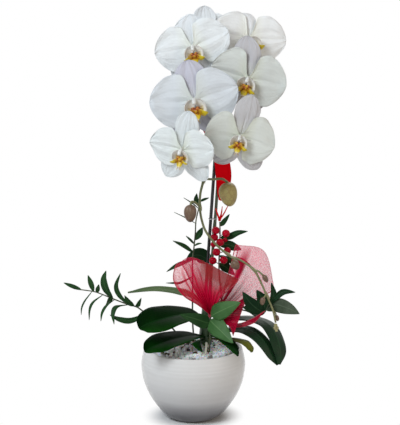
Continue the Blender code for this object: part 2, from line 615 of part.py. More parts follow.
def make_container(parts):
    glaze = make_material("glaze", (0.78, 0.77, 0.76), 0.12)
    turned("pot", pot_profiles(), POT_SEGMENTS, glaze, parts)
    plastic = make_material("nursery_plastic", (0.03, 0.03, 0.03), 0.5)
    bottom = POT_FLOOR + GAP
    wall = NURSERY_WALL
    profile = [(0, bottom + wall), (NURSERY_FOOT_RADIUS - wall, bottom + wall),
               (NURSERY_TOP_RADIUS - wall, NURSERY_TOP), (NURSERY_TOP_RADIUS, NURSERY_TOP),
               (NURSERY_FOOT_RADIUS, bottom), (0, bottom)]
    turned("nursery_pot", profile, NURSERY_SEGMENTS, plastic, parts)
    bark_brown = make_material("bark", (0.12, 0.07, 0.04), 0.9)
    inside = wall + GAP
    profile = [(0, NURSERY_TOP), (NURSERY_TOP_RADIUS - inside - BARK_TOP_INSET, NURSERY_TOP),
               (NURSERY_FOOT_RADIUS - inside, bottom + inside), (0, bottom + inside)]
    bark = turned("bark_mix", profile, BARK_SEGMENTS, bark_brown, parts)
    marble = make_material("marble_chips", (0.85, 0.86, 0.87), 0.5)
    gravel = make_gravel(marble, parts)
    clear = make_material("clear_film", (0.9, 0.9, 0.9), 0.1, alpha=0.3)
    make_film(clear, parts)
    return bark, gravel


# ---------------------------------------------------------------- orchid plant
def make_crown(parts, cutters):
    green = make_material("crown_green", (0.12, 0.2, 0.06), 0.5)
    crown = turned("crown", CROWN_PROFILE, CROWN_SEGMENTS, green, parts)
    settle(crown)
    crown.location = (CROWN_AXIS[0] * MM, CROWN_AXIS[1] * MM, 0)
    grown = [(r + GAP if r else 0, z + (GAP if z > CROWN_WAIST else -GAP))
             for r, z in CROWN_PROFILE]
    space = turned("crown_space", grown, CROWN_SEGMENTS, green, cutters)
    settle(space)
    space.location = crown.location
    end_radius = ROOT_RADIUS * ROOT_TAPER
    roots = [stem(f"root_{i}", route, ROOT_RADIUS, end_radius, green, parts, per_span=1)
             for i, route in enumerate(ROOTS)]
    bpy.context.view_layer.update()
    absorb(crown, roots)
    root_spaces = [stem(f"root_space_{i}", route, ROOT_RADIUS + GAP, end_radius + GAP,
                        green, cutters, per_span=1) for i, route in enumerate(ROOTS)]
    return as_cutter(space), [as_cutter(obj) for obj in root_spaces]


def make_orchid_leaves(parts, crown_space):
    colours = {"leaf_yellow": (0.3, 0.28, 0.03), "leaf_left_back": (0.1, 0.16, 0.07)}
    for name, (stations, start, end) in ORCHID_LEAVES.items():
        green = make_material(name + "_green", colours.get(name, (0.02, 0.07, 0.02)), 0.35)
        leaf = blade(name, stations, start, end, LEAF_FOLD, LEAF_THICKNESS, green, parts)
        boolean(leaf, crown_space, "DIFFERENCE")
    pale = make_material("aerial_root_pale", (0.55, 0.5, 0.4), 0.6)
    root = stem("aerial_root", AERIAL_ROOT, AERIAL_ROOT_RADIUS, AERIAL_ROOT_END_RADIUS, pale,
                parts)
    boolean(root, crown_space, "DIFFERENCE")


def make_spike(parts, cutters, crown_space):
    green = make_material("spike_green", (0.16, 0.2, 0.07), 0.45)
    spike = stem("flower_spike", SPIKE_ROUTE, SPIKE_RADIUS, SPIKE_END_RADIUS, green, parts)
    boolean(spike, crown_space, "DIFFERENCE")
    space = stem("spike_space", SPIKE_ROUTE, SPIKE_RADIUS + GAP, SPIKE_END_RADIUS + GAP, green,
                 cutters)
    return as_cutter(space)


def make_flower(number, parts, spike_space):
    centre, yaw, pitch, roll, length, lean, dorsal, lateral, origin = FLOWERS[number - 1]
    white = make_material(f"sepal_white_{number}", (0.86, 0.86, 0.88), 0.45)
    petal_white = make_material(f"petal_white_{number}", (0.88, 0.88, 0.88), 0.45)
    lip_yellow = make_material(f"lip_yellow_{number}", (0.85, 0.6, 0.1), 0.4)
    turn = (Matrix.Rotation(math.radians(yaw), 4, "Z") @ Matrix.Rotation(math.radians(pitch), 4, "X")
            @ Matrix.Rotation(math.radians(-roll), 4, "Y"))
    seat = Matrix.Translation(Vector(centre) * MM) @ turn

    half_width = length * SEPAL_HALF_WIDTH
    sepals = whorl(f"flower_{number}_sepals",
                   [(lean, dorsal, half_width), (LATERAL_DIRECTION, lateral, half_width),
                    (-LATERAL_DIRECTION, lateral, half_width)],
                   SEPAL_DEPTH, SEPAL_BEND, SEPAL_RAYS, white, parts)
    settle(sepals)
    half_width = length * PETAL_HALF_WIDTH
    petals = whorl(f"flower_{number}_petals",
                   [(PETAL_DIRECTION, length, half_width), (-PETAL_DIRECTION, length, half_width)],
                   PETAL_DEPTH, PETAL_BEND, PETAL_RAYS, petal_white, parts)
    lip = make_lip(f"flower_{number}_lip", length / LIP_PETAL_LENGTH, lip_yellow, parts)
    for piece in (sepals, petals, lip):
        piece.matrix_world = seat

    back = [seat @ (Vector((0, y, z)) * MM) / MM for y, z in STALK_BACK]
    stalk = stem(f"stalk_{number}", [origin, *back], STALK_RADIUS, STALK_RADIUS, white, parts)
    bpy.context.view_layer.update()
    absorb(sepals, [stalk])
    boolean(sepals, spike_space, "DIFFERENCE")


def make_lip(name, scale, material, parts):
    """The lip with its two side lobes, and the column above it; its seat is on the hub."""
    column = stem(name, [(0, COLUMN_SEAT, 0)] + [(0, y * scale, z * scale) for y, z in COLUMN_ROUTE],
                  COLUMN_RADIUS * scale, COLUMN_END_RADIUS * scale, material, parts, per_span=1)
    middle = blade(name + "_middle", [[value * scale for value in p] for p in LIP_MIDDLE],
                   (1, 0, 0), (1, 0, 0), 0.2, LIP_THICKNESS, material, parts, per_span=1, columns=2)
    lobes = [middle]
    for side in (-1, 1):
        stations = [(side * x * scale, y * scale, z * scale, half_width * scale)
                    for x, y, z, half_width in LIP_SIDE]
        lobe = blade(f"{name}_side_{side}", stations, (0, -1, 0.3), (0, -1, 0.3), 0.1,
                     LIP_THICKNESS, material, parts, per_span=1, columns=2)
        lobes.append(lobe)
    for lobe in lobes:
        settle(lobe)
    absorb(column, lobes)
    return column


def make_buds(parts, spike_space):
    for number, (centre, half_width, half_height, lean, route) in enumerate(BUDS, start=1):
        green = make_material(f"bud_green_{number}", (0.3, 0.3, 0.08), 0.5)
        bud = egg(f"bud_{number}", centre, half_width, half_height, lean, green, parts)
        radius = min(BUD_STALK_RADIUS, half_width * BUD_STALK_SHARE)
        stalk = stem(f"bud_stalk_{number}", route, radius, radius, green, parts)
        bpy.context.view_layer.update()
        absorb(bud, [stalk])
        boolean(bud, spike_space, "DIFFERENCE")
    green = make_material("tip_bud_green", (0.35, 0.36, 0.15), 0.5)
    cluster = [ball(f"tip_bud_{i}", centre, radius, green, parts)
               for i, (centre, radius) in enumerate(TIP_BUDS)]
    bpy.context.view_layer.update()
    absorb(cluster[0], cluster[1:])
    cluster[0].name = "tip_buds"
    boolean(cluster[0], spike_space, "DIFFERENCE")


# ---------------------------------------------------------------- supports
def stake_at(height):
    foot, top = Vector(STAKE_FOOT), Vector(STAKE_TOP)
    return foot.lerp(top, (height - foot.z) / (top.z - foot.z))


def make_stake(parts, cutters):
    black = make_material("stake_black", (0.01, 0.01, 0.01), 0.25)
    stem("stake", [STAKE_FOOT, STAKE_TOP], STAKE_RADIUS, STAKE_RADIUS, black, parts, per_span=1)
    space = stem("stake_space", [STAKE_FOOT, STAKE_TOP], STAKE_RADIUS + GAP, STAKE_RADIUS + GAP,
                 black, cutters, per_span=1)
    return as_cutter(space)


def spike_at(height):
    """Centre of the spike's rising part at this height."""
    rising = smooth_route(SPIKE_ROUTE[:SPIKE_TURN], 8)
    return min(rising, key=lambda p: abs(p.z - height))


def make_clip(parts, spaces):
    """A ring of clear plastic round the stake and the spike."""
    clear = make_material("clip_clear", (0.8, 0.8, 0.8), 0.2, alpha=0.6)
    spike = spike_at(CLIP_HEIGHT)
    stake = stake_at(CLIP_HEIGHT)
    middle = (spike + stake) / 2
    toward = Vector((spike.x - stake.x, spike.y - stake.y, 0))
    reach = toward.length / 2 + SPIKE_RADIUS + GAP + CLIP_WIRE_RADIUS
    toward.normalize()
    sideways = Vector((-toward.y, toward.x, 0))
    width = SPIKE_RADIUS + GAP + CLIP_ROOM
    curve = bpy.data.curves.new("stake_clip", "CURVE")
    curve.dimensions = "3D"
    curve.bevel_depth = CLIP_WIRE_RADIUS * MM
    curve.bevel_resolution = 1
    spline = curve.splines.new("POLY")
    spline.points.add(CLIP_POINTS - 1)
    spline.use_cyclic_u = True
    for i in range(CLIP_POINTS):
        angle = 2 * math.pi * i / CLIP_POINTS
        point = middle + toward * reach * math.cos(angle) + sideways * width * math.sin(angle)
        spline.points[i].co = (*(Vector((point.x, point.y, CLIP_HEIGHT)) * MM), 1)
    guide = place("stake_clip_route", curve, clear, parts)
    mesh = mesh_from(guide)
    bpy.data.objects.remove(guide, do_unlink=True)
    mesh.materials.clear()
    mesh.shade_smooth()
    clip = place("stake_clip", mesh, clear, parts)
    for space in spaces:
        boolean(clip, space, "DIFFERENCE")


# ---------------------------------------------------------------- greenery and berries
def rooted(stations, route):
    """The stations of a leaf, the first moved on to the axis of the stem that carries it."""
    foot = min(smooth_route(route, 8), key=lambda p: (p - Vector(stations[0])).length)
    return [foot, *stations[1:]]


def make_sprig(name, route, leaves, colour, parts):
    green = make_material(name + "_green", colour, 0.4)
    sprig = stem(name, route, SPRIG_STEM_RADIUS, SPRIG_STEM_RADIUS * SPRIG_STEM_TAPER, green,
                 parts)
    blades = [small_leaf(f"{name}_leaf_{i}", rooted(stations, route), across, half_width, green,
                         parts)
              for i, (stations, across, half_width) in enumerate(leaves)]
    absorb(sprig, blades)


def make_berry_branch(parts):
    red = make_material("berry_red", (0.5, 0.005, 0.02), 0.2)
    branch = stem("berry_branch", BERRY_STEM, BERRY_STEM_RADIUS, BERRY_STEM_END_RADIUS, red,
                  parts)
    pieces = []
    route = smooth_route(BERRY_STEM, 8)
    for i, (centre, radius) in enumerate(BERRIES):
        berry = ball(f"berry_{i}", centre, radius, red, parts)
        hang = Vector(centre) - Vector((0, 0, BERRY_STALK_DROP))
        foot = min(route, key=lambda p: (p - hang).length)
        pieces.append(stem(f"berry_stalk_{i}", [foot, centre], BERRY_STALK_RADIUS,
                           BERRY_STALK_RADIUS, red, parts, per_span=1))
        pieces.append(berry)
    for i, (stations, across, half_width) in enumerate(BERRY_LEAVES):
        pieces.append(small_leaf(f"berry_leaf_{i}", rooted(stations, BERRY_STEM), across,
                                 half_width, red, parts))
    bpy.context.view_layer.update()
    absorb(branch, pieces)


# ---------------------------------------------------------------- ribbon and bow
def make_ribbon(parts, stake_space, spike_space):
    satin = make_material("satin_red", (0.6, 0.0, 0.01), 0.35)
    blade("ribbon_tail", RIBBON_TAIL, (1, 0, 0), (1, 0.15, 0.2), 0.0, RIBBON_THICKNESS,
          satin, parts, columns=2)
    knot_satin = make_material("satin_red_knot", (0.6, 0.0, 0.01), 0.35)
    middle = (stake_at(RIBBON_KNOT_HEIGHT) + spike_at(RIBBON_KNOT_HEIGHT)) / 2
    knot = ball("ribbon_knot", middle, RIBBON_KNOT_RADIUS, knot_satin, parts)
    for space in (stake_space, spike_space):
        boolean(knot, space, "DIFFERENCE")
    streamer_red = make_material("streamer_red", (0.7, 0.01, 0.02), 0.3)
    streamers = [stem(f"streamer_{i}", route, STREAMER_RADIUS, STREAMER_END_RADIUS, streamer_red, parts)
                 for i, route in enumerate(STREAMERS)]
    knot = ball("streamer_knot", *STREAMER_KNOT, streamer_red, parts)
    bpy.context.view_layer.update()
    absorb(streamers[0], streamers[1:] + [knot])
    streamers[0].name = "red_streamers"


def make_bow(parts, cutters):
    red = make_material("bow_tie_red", (0.5, 0.0, 0.02), 0.6)
    ball("bow_tie", BOW_TIE_CENTRE, BOW_TIE_RADIUS, red, parts)
    tie_space = as_cutter(ball("bow_tie_space", BOW_TIE_CENTRE, BOW_TIE_RADIUS + GAP, red, cutters))
    for name, lines in (("bow_loop_left", BOW_LOOP_LEFT), ("bow_loop_right", BOW_LOOP_RIGHT),
                        ("bow_tail", BOW_TAIL), ("bow_tail_small", BOW_TAIL_SMALL)):
        net = make_material(name + "_net", (0.6, 0.02, 0.06), 0.6, alpha=0.7)
        cloth = band(name, lines, net, parts)
        boolean(cloth, tie_space, "DIFFERENCE")


def open_filling(gravel, bark, cutters, deep_spaces):
    """Make room in the gravel for every stem, and in the bark for those that reach it."""
    stems = {"sprig_left": SPRIG_LEFT_STEM, "sprig_upright": SPRIG_UPRIGHT_STEM,
             "sprig_front": SPRIG_FRONT_STEM, "sprig_right": SPRIG_RIGHT_STEM,
             "leaf_behind_bow": LEAF_BEHIND_STEM, "berry_branch": BERRY_STEM}
    hole = STEM_HOLE_RADIUS + GAP
    for name, route in stems.items():
        foot, *above = smooth_route(route, 2)[:4]
        below = foot + (foot - above[0]).normalized() * STEM_HOLE_DEPTH
        space = as_cutter(stem(name + "_space", [below, foot, *above], hole, hole,
                               bpy.data.objects[name].data.materials[0], cutters, per_span=1))
        boolean(gravel, space, "DIFFERENCE")
    root_hole = as_cutter(stem("aerial_root_space", AERIAL_ROOT, AERIAL_ROOT_RADIUS + GAP,
                               AERIAL_ROOT_END_RADIUS + GAP,
                               bpy.data.materials["aerial_root_pale"], cutters))
    for space in [root_hole, *deep_spaces]:
        boolean(gravel, space, "DIFFERENCE")
    for space in deep_spaces:
        boolean(bark, space, "DIFFERENCE")


def make_part():
    clear_scene()
    parts = new_collection("potted_orchid")
    cutters = new_collection("cutters")
    bark, gravel = make_container(parts)
    crown_space, root_spaces = make_crown(parts, cutters)
    make_orchid_leaves(parts, crown_space)
    spike_space = make_spike(parts, cutters, crown_space)
    for number in range(1, len(FLOWERS) + 1):
        make_flower(number, parts, spike_space)
    make_buds(parts, spike_space)
    stake_space = make_stake(parts, cutters)
    make_clip(parts, (stake_space, spike_space))
    make_sprig("sprig_left", SPRIG_LEFT_STEM, SPRIG_LEFT_LEAVES, (0.02, 0.09, 0.02), parts)
    make_sprig("sprig_upright", SPRIG_UPRIGHT_STEM, SPRIG_UPRIGHT_LEAVES, (0.03, 0.08, 0.02), parts)
    make_sprig("sprig_front", SPRIG_FRONT_STEM, SPRIG_FRONT_LEAVES, (0.08, 0.2, 0.06), parts)
    make_sprig("sprig_right", SPRIG_RIGHT_STEM, SPRIG_RIGHT_LEAVES, (0.02, 0.07, 0.02), parts)
    make_sprig("leaf_behind_bow", LEAF_BEHIND_STEM, [LEAF_BEHIND_LEAF], (0.02, 0.06, 0.03), parts)
    make_berry_branch(parts)
    make_ribbon(parts, stake_space, spike_space)
    make_bow(parts, cutters)
    open_filling(gravel, bark, cutters, [stake_space, crown_space] + root_spaces)


make_part()
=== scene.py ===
"""Scene of the potted orchid: detailed pieces on the CAD frame, studio floor, light and camera.

Lengths are in millimetres and scaled by MM. Each piece is shaped here and then seated on the
CAD node that it stands for, so that its place comes from the frame.
"""
import math
import random

import bmesh
import bpy
from mathutils import Matrix, Vector, noise


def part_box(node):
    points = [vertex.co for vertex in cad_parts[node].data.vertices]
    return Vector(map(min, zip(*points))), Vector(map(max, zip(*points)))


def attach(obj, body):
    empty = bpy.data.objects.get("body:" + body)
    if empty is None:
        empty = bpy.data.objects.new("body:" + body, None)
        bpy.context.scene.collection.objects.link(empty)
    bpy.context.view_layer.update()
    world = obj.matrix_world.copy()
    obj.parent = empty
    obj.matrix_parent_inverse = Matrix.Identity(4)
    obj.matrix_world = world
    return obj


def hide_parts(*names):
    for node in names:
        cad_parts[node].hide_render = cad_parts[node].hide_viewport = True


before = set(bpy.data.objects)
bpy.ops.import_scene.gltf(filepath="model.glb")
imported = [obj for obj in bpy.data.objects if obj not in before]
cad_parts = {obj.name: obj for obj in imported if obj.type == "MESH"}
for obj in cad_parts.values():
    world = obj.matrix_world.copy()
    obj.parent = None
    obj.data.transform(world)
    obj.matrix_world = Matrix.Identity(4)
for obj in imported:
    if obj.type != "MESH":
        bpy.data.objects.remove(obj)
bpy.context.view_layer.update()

MM = 0.001

# Camera
CAMERA_PLACE = (0.0095, -1.70, 0.57)
CAMERA_PITCH = 80.7
CAMERA_LENS = 105.5

# Light: lamps as name, place, size, power, colour
WORLD_LIGHT = 0.3
LAMP_AIM = Vector((0, 0, 0.3))
LAMPS = [
    ("key", (-0.75, -1.0, 1.15), 0.6, 14, (0.88, 0.945, 1.0)),
    ("fill", (1.2, -0.9, 0.6), 0.9, 3.6, (1.0, 0.8, 0.6)),
    ("rim", (0.5, 1.3, 1.4), 0.9, 6, (1.0, 1.0, 1.0)),
]
FLOOR_LEVEL = -0.0004
FLOOR_FADE = (0.04, 0.075)    # distances where the floor starts and ends turning plain white

NEAR_AXIS = 0.01              # radius of a ring that stands for a point on the axis

# Pot: outside radius against height, wall and rim
POT_OUTSIDE = [(33, 0), (42.3, 6.5), (52.3, 18.5), (62.7, 35), (70.1, 54), (73.2, 74),
               (72.2, 86), (69, 99)]
POT_WALL = 4.5
POT_FLOOR = 6
POT_HEIGHT = 100.5
RIM_RISE = 1.5                # height of the rounded rim
FOOT_BEVEL = 1.2
POT_SEGMENTS = 128
THROWING_LINES = 34
LINE_DEPTH = 0.09
# Glaze: its colour at shares of the pot's height; the darkening towards the foot is a painted
# reflection of dark surroundings
GLAZE_WITH_PAINTED_REFLECTION = [(0.0, (0.03, 0.03, 0.034)), (0.12, (0.075, 0.075, 0.087)), (0.25, (0.27, 0.268, 0.28)),
         (0.36, (0.53, 0.525, 0.53)), (0.5, (0.62, 0.613, 0.61)), (0.66, (0.71, 0.7, 0.69)),
         (1.0, (0.79, 0.78, 0.765))]

# Film between the filling and the pot
FILM_STEPS = 160
FILM_LEVELS = (70, 80, 90, 95, 98, 100)
FILM_RADIUS = 59.9

# Gravel bed and its chips
BED_FALL = 8                  # how far the bed falls from its middle to its edge
BED_DROP = 2.5                # the bed lies this far under the chips' level
CHIPS_ABOVE = 1.5             # how far chips stand over that level
CHIP_COUNT = 430
CHIP_SIZES = (2.4, 4.4)
CHIP_CUTS = 7
GOLDEN_ANGLE = math.pi * (3 - math.sqrt(5))
WHITE_PART = (-34, -12)       # in front and to the right of this place chips are nearly all white
BARK_AND_SHADE_SHARES = (0.04, 0.25)    # share of dark chips there, and elsewhere: dark bark, and painted shade at the back and left

# Flowers: centre, yaw, pitch, roll, petal length, dorsal sepal's lean and length, lateral
# sepals' length, and where the stalk leaves the spike
FLOWERS = [
    ((0, -22, 518), -4, 4, 11, 52, 5, 43, 53, (37, 9, 512)),
    ((75, 4, 528), 12, 4, -9, 53, -28, 36, 52, (37, 13, 534)),
    ((74, -30, 478), -8, 8, -14, 52, -12, 58, 45, (35, 2, 484)),
    ((2, -50, 449), -4, 2, 11, 60, 0, 54, 55, (32, -8, 456)),
    ((-14, -80, 388), -24, 18, -4, 46, 14, 56, 52, (25, -27, 402)),
    ((63, -64, 403), -8, 8, -10, 47, 6, 57, 51, (29, -20, 430)),
    ((16, 47, 534), 176, -4, 0, 44, 0, 40, 37, (30, 25, 530)),
]
LATERAL_DIRECTION = 146       # degrees from straight up
LILAC_SEPALS = (3, 4, 6)
PETAL_WHITE = (0.78, 0.8, 0.81)
PETAL_FOOT = (0.78, 0.8, 0.66)
SEPAL_WHITE = (0.74, 0.76, 0.78)
SEPAL_LILAC = (0.64, 0.62, 0.68)
SEPAL_FOOT = (0.7, 0.72, 0.66)
PETAL_THICKNESS = 0.7
PETAL_CLAW = 3.5              # half width at a petal's foot
PETAL_NECK = 0.25             # share of its length over which it widens
PETAL_ROWS = 40
PETAL_COLUMNS = 37
PETAL_SHAPE = (-0.6, -1.5, 1.8, 1.0)    # depth behind the hub, bend, cup and ripple
SEPAL_SHAPE = (0.9, 4.5, 1.0, 0.5)
SEPAL_WIDTH = 0.36            # half width, as a share of the flower's petal length
STALK_END = [(0, 18, -5), (0, 8, -1), (0, 1.2, 0)]      # its way into the back of the flower
STALK_RADII = (1.35, 1.7)
# Each flower's white, made lighter or darker: painted light and shade on that flower, warmer where
# it is painted shade
PAINTED_LIGHT_TONES = [(1.06, 1.07, 1.07), (1.22, 1.21, 1.2), (0.87, 0.88, 0.83), (0.9, 0.92, 0.95),
         (1.02, 1.04, 1.02), (0.86, 0.86, 0.79), (1.2, 1.2, 1.2)]

# Petals: the CAD's direction and half width, and the flowers whose own differ from them
PETAL_SPREAD = (82, 0.6)
SPREADS = {1: (88, 76, 0.6), 3: (86, 86, 0.68), 6: (97, 97, 0.7)}    # left, right, half width
LIP_TURNS = {2: -35}          # degrees about the flower's axis
DORSALS = {3: (-16, 56)}      # a back sepal's own lean and length

# Lip and column of a flower whose petals are this long: stations (x, y, z, half width)
LIP_PETAL = 52
COLUMN_ROUTE = [(0, 0.5, 0.5), (0, -4, 1.6), (0, -8, 1.4), (0, -11.5, -0.6), (0, -13.4, -3.2)]
COLUMN_RADII = (2.0, 0.6, 0.9)    # at its foot, its swelling, and at its end
LIP_WING = [(1, -10.5, -11.5, 3.4), (5.5, -13.5, -13.8, 4.8), (9.5, -15.5, -14.8, 3.8),
            (14, -16, -14.3, 0.8)]
LIP_TIP = [(0, -8.5, -10.5, 4), (0, -13, -14.5, 5), (0, -16, -18, 4), (0, -18.5, -21.5, 1.5)]
LIP_CALLUS = [((-2.6, -10.5, -8.6), 2.7), ((2.6, -10.5, -8.6), 2.7), ((0, -11.5, -10.8), 2.9)]
LIP_TENDRIL = [(0.8, -18, -20.5), (2.6, -19.5, -23), (3.2, -18.5, -25)]
CUP_CENTRE = -8.3             # height of the side lobes' axis against the hub
CUP_FOOT = (2.2, -4.5)        # their inner radius and its place along the axis
CUP_RIM = (12.6, -11)
CUP_ANGLES = (12, 156)        # each side lobe's two ends, in degrees from straight up

SPIKE_ROUTE = [(20, 6, 118), (22, 14, 150), (24.8, 19.2, 200), (28.4, 21.2, 250),
               (32, 22, 300), (33.6, 19.5, 335), (31, 17, 365), (26.5, 17, 404),
               (25, 20, 450), (27, 24, 500), (30, 25, 530), (34, 20, 544), (37, 13, 534),
               (37, 9, 512), (35, 2, 484), (32, -8, 456), (29, -20, 430), (25, -27, 402),
               (20, -29, 374), (14.5, -27, 342), (9.5, -26, 320), (9.2, -26, 299),
               (12.2, -26.5, 282), (18, -28, 267.7), (30.8, -31, 251.8), (47, -35.5, 238.5),
               (55, -38, 234), (65.2, -42.5, 231.4), (81.5, -49.5, 220.8), (90.7, -54, 205.5),
               (98.8, -59, 187.6), (107, -64, 168.9), (111.3, -66, 151)]
SPIKE_RADII = (2.3, 1.3)
SPIKE_JOINTS = (0.1, 0.2, 0.32, 0.594, 0.65, 0.78, 0.8125, 0.875, 0.9375)
JOINT_SWELL = 0.75
JOINT_SPAN = 0.006            # share of the spike's length
CLIP_WIRE = 0.4

# Buds: centre, half width, half height, lean, and the stalk's route
LARGE_BUD = 10                # buds with a larger half width are olive
BUDS = [
    ((47, -36, 323), 13, 16.5, 8,
     [(14.5, -27, 342), (25, -31.5, 342), (38, -35.5, 343), (46, -36, 338)]),
    ((-3, -36, 297), 9, 12, -3,
     [(9.3, -26, 304), (4, -31, 310), (-1.5, -35, 312), (-3, -36, 306)]),
    ((57, -48, 228), 6.3, 7, 30, [(55, -38, 234), (56, -42, 234), (57, -46, 231)]),
    ((97, -57, 211), 3.8, 5.5, 30, [(81.5, -49.5, 220.8), (88, -52, 219.5), (94, -55, 214.5)]),
    ((94, -66, 182), 3.8, 5.5, -10, [(98.8, -59, 187.6), (97.5, -62, 188), (95, -65, 185)]),
    ((113, -60, 157), 3.2, 4.2, 20, [(107, -64, 168.9), (110.5, -62, 165), (112, -60.5, 159)]),
]
TIP_BUDS = [((111.6, -66.4, 148), 2.6), ((111, -66.5, 144.6), 2.4), ((113.8, -66, 144.6), 2.2),
            ((112.6, -67.3, 141.6), 2.0)]

# Crown: radius against height
CROWN_AXIS = 18
CROWN_PROFILE = [(0.05, 160), (3, 159), (5.5, 154), (7.4, 143), (8.8, 126), (8.6, 110), (7.6, 98),
                 (7, 92), (0.05, 91.5)]

# Orchid leaves: stations (x, y, z, half width), and the direction across at both ends
ORCHID_LEAVES = {
    "leaf_left_upper": (
        [(18, 0, 140, 4), (2, -16, 151, 13), (-22, -36, 153.5, 20), (-43, -53, 152.5, 22.5),
         (-59, -66, 150.5, 19), (-67, -72, 148, 13), (-71, -75, 146, 3)],
        (-0.5, 0.8, 0.2), (0.05, 0.67, 0.74)),
    "leaf_left_lower": (
        [(18, -1, 116, 4), (-2, -22, 122, 12.5), (-25, -45, 123, 18), (-43, -60, 121, 18.5),
         (-54, -69, 119, 14), (-60, -74, 116.5, 8), (-63, -77, 115, 2)],
        (-0.5, 0.8, 0.1), (-0.1, 0.75, 0.62)),
    "leaf_left_back": (
        [(18, 3, 152, 3), (6, 12, 164, 6.5), (-8, 18, 171, 8), (-25, 24, 174, 7),
         (-48, 28, 176, 5.5), (-72, 31, 174, 4), (-93, 33, 170, 1)],
        (-0.3, 0.9, 0.2), (0, 0.8, 0.6)),
    "leaf_right_arch": (
        [(18, -1, 122, 4), (36, -7, 126, 8), (54, -14, 131, 11), (70, -22, 132, 12),
         (85, -30, 126, 11.5), (97, -36, 114, 10), (107, -40, 99, 8), (114, -42, 86, 2)],
        (0.3, 0.9, 0.1), (0.8, 0.5, 0.3)),
    "leaf_right_outer": (
        [(20, 1, 136, 4), (40, 2, 140, 8), (64, -2, 144, 11), (86, -9, 143.5, 12),
         (103, -19, 137, 12.5), (113, -32, 123, 12), (118, -42, 105, 9.5), (116, -47, 88, 2)],
        (0.1, 1, 0.1), (0.95, 0.3, 0)),
    "leaf_yellow": (
        [(19, -3, 113, 2.5), (36, -15, 117, 5), (54, -29, 120, 7), (69, -40, 119, 7.5),
         (77, -46, 112, 6), (79, -48, 106, 1.5)],
        (0.5, 0.8, 0.1), (0.8, 0.6, 0)),
    "leaf_over_rim": (
        [(20, -4, 117, 2.5), (31, -24, 122.5, 4.5), (42, -44, 123, 6.5), (52, -56, 118, 6.5),
         (58, -63, 110, 4), (60, -65, 105, 1)],
        (0.8, 0.5, 0.1), (0.8, -0.4, 0.4)),
    "leaf_basal": (
        [(15, -4, 112, 2.5), (9, -22, 116, 5), (5, -38, 118, 6), (8, -50, 114, 4),
         (13, -56, 109, 1)],
        (0.9, 0.2, 0.1), (0.9, 0.3, 0.3)),
}
AERIAL_ROOT = [(18, -5, 103), (18, -22, 111), (18.5, -38, 114.5), (18, -48, 112), (17, -53, 104)]

LEAF_GLOSS = 0.05

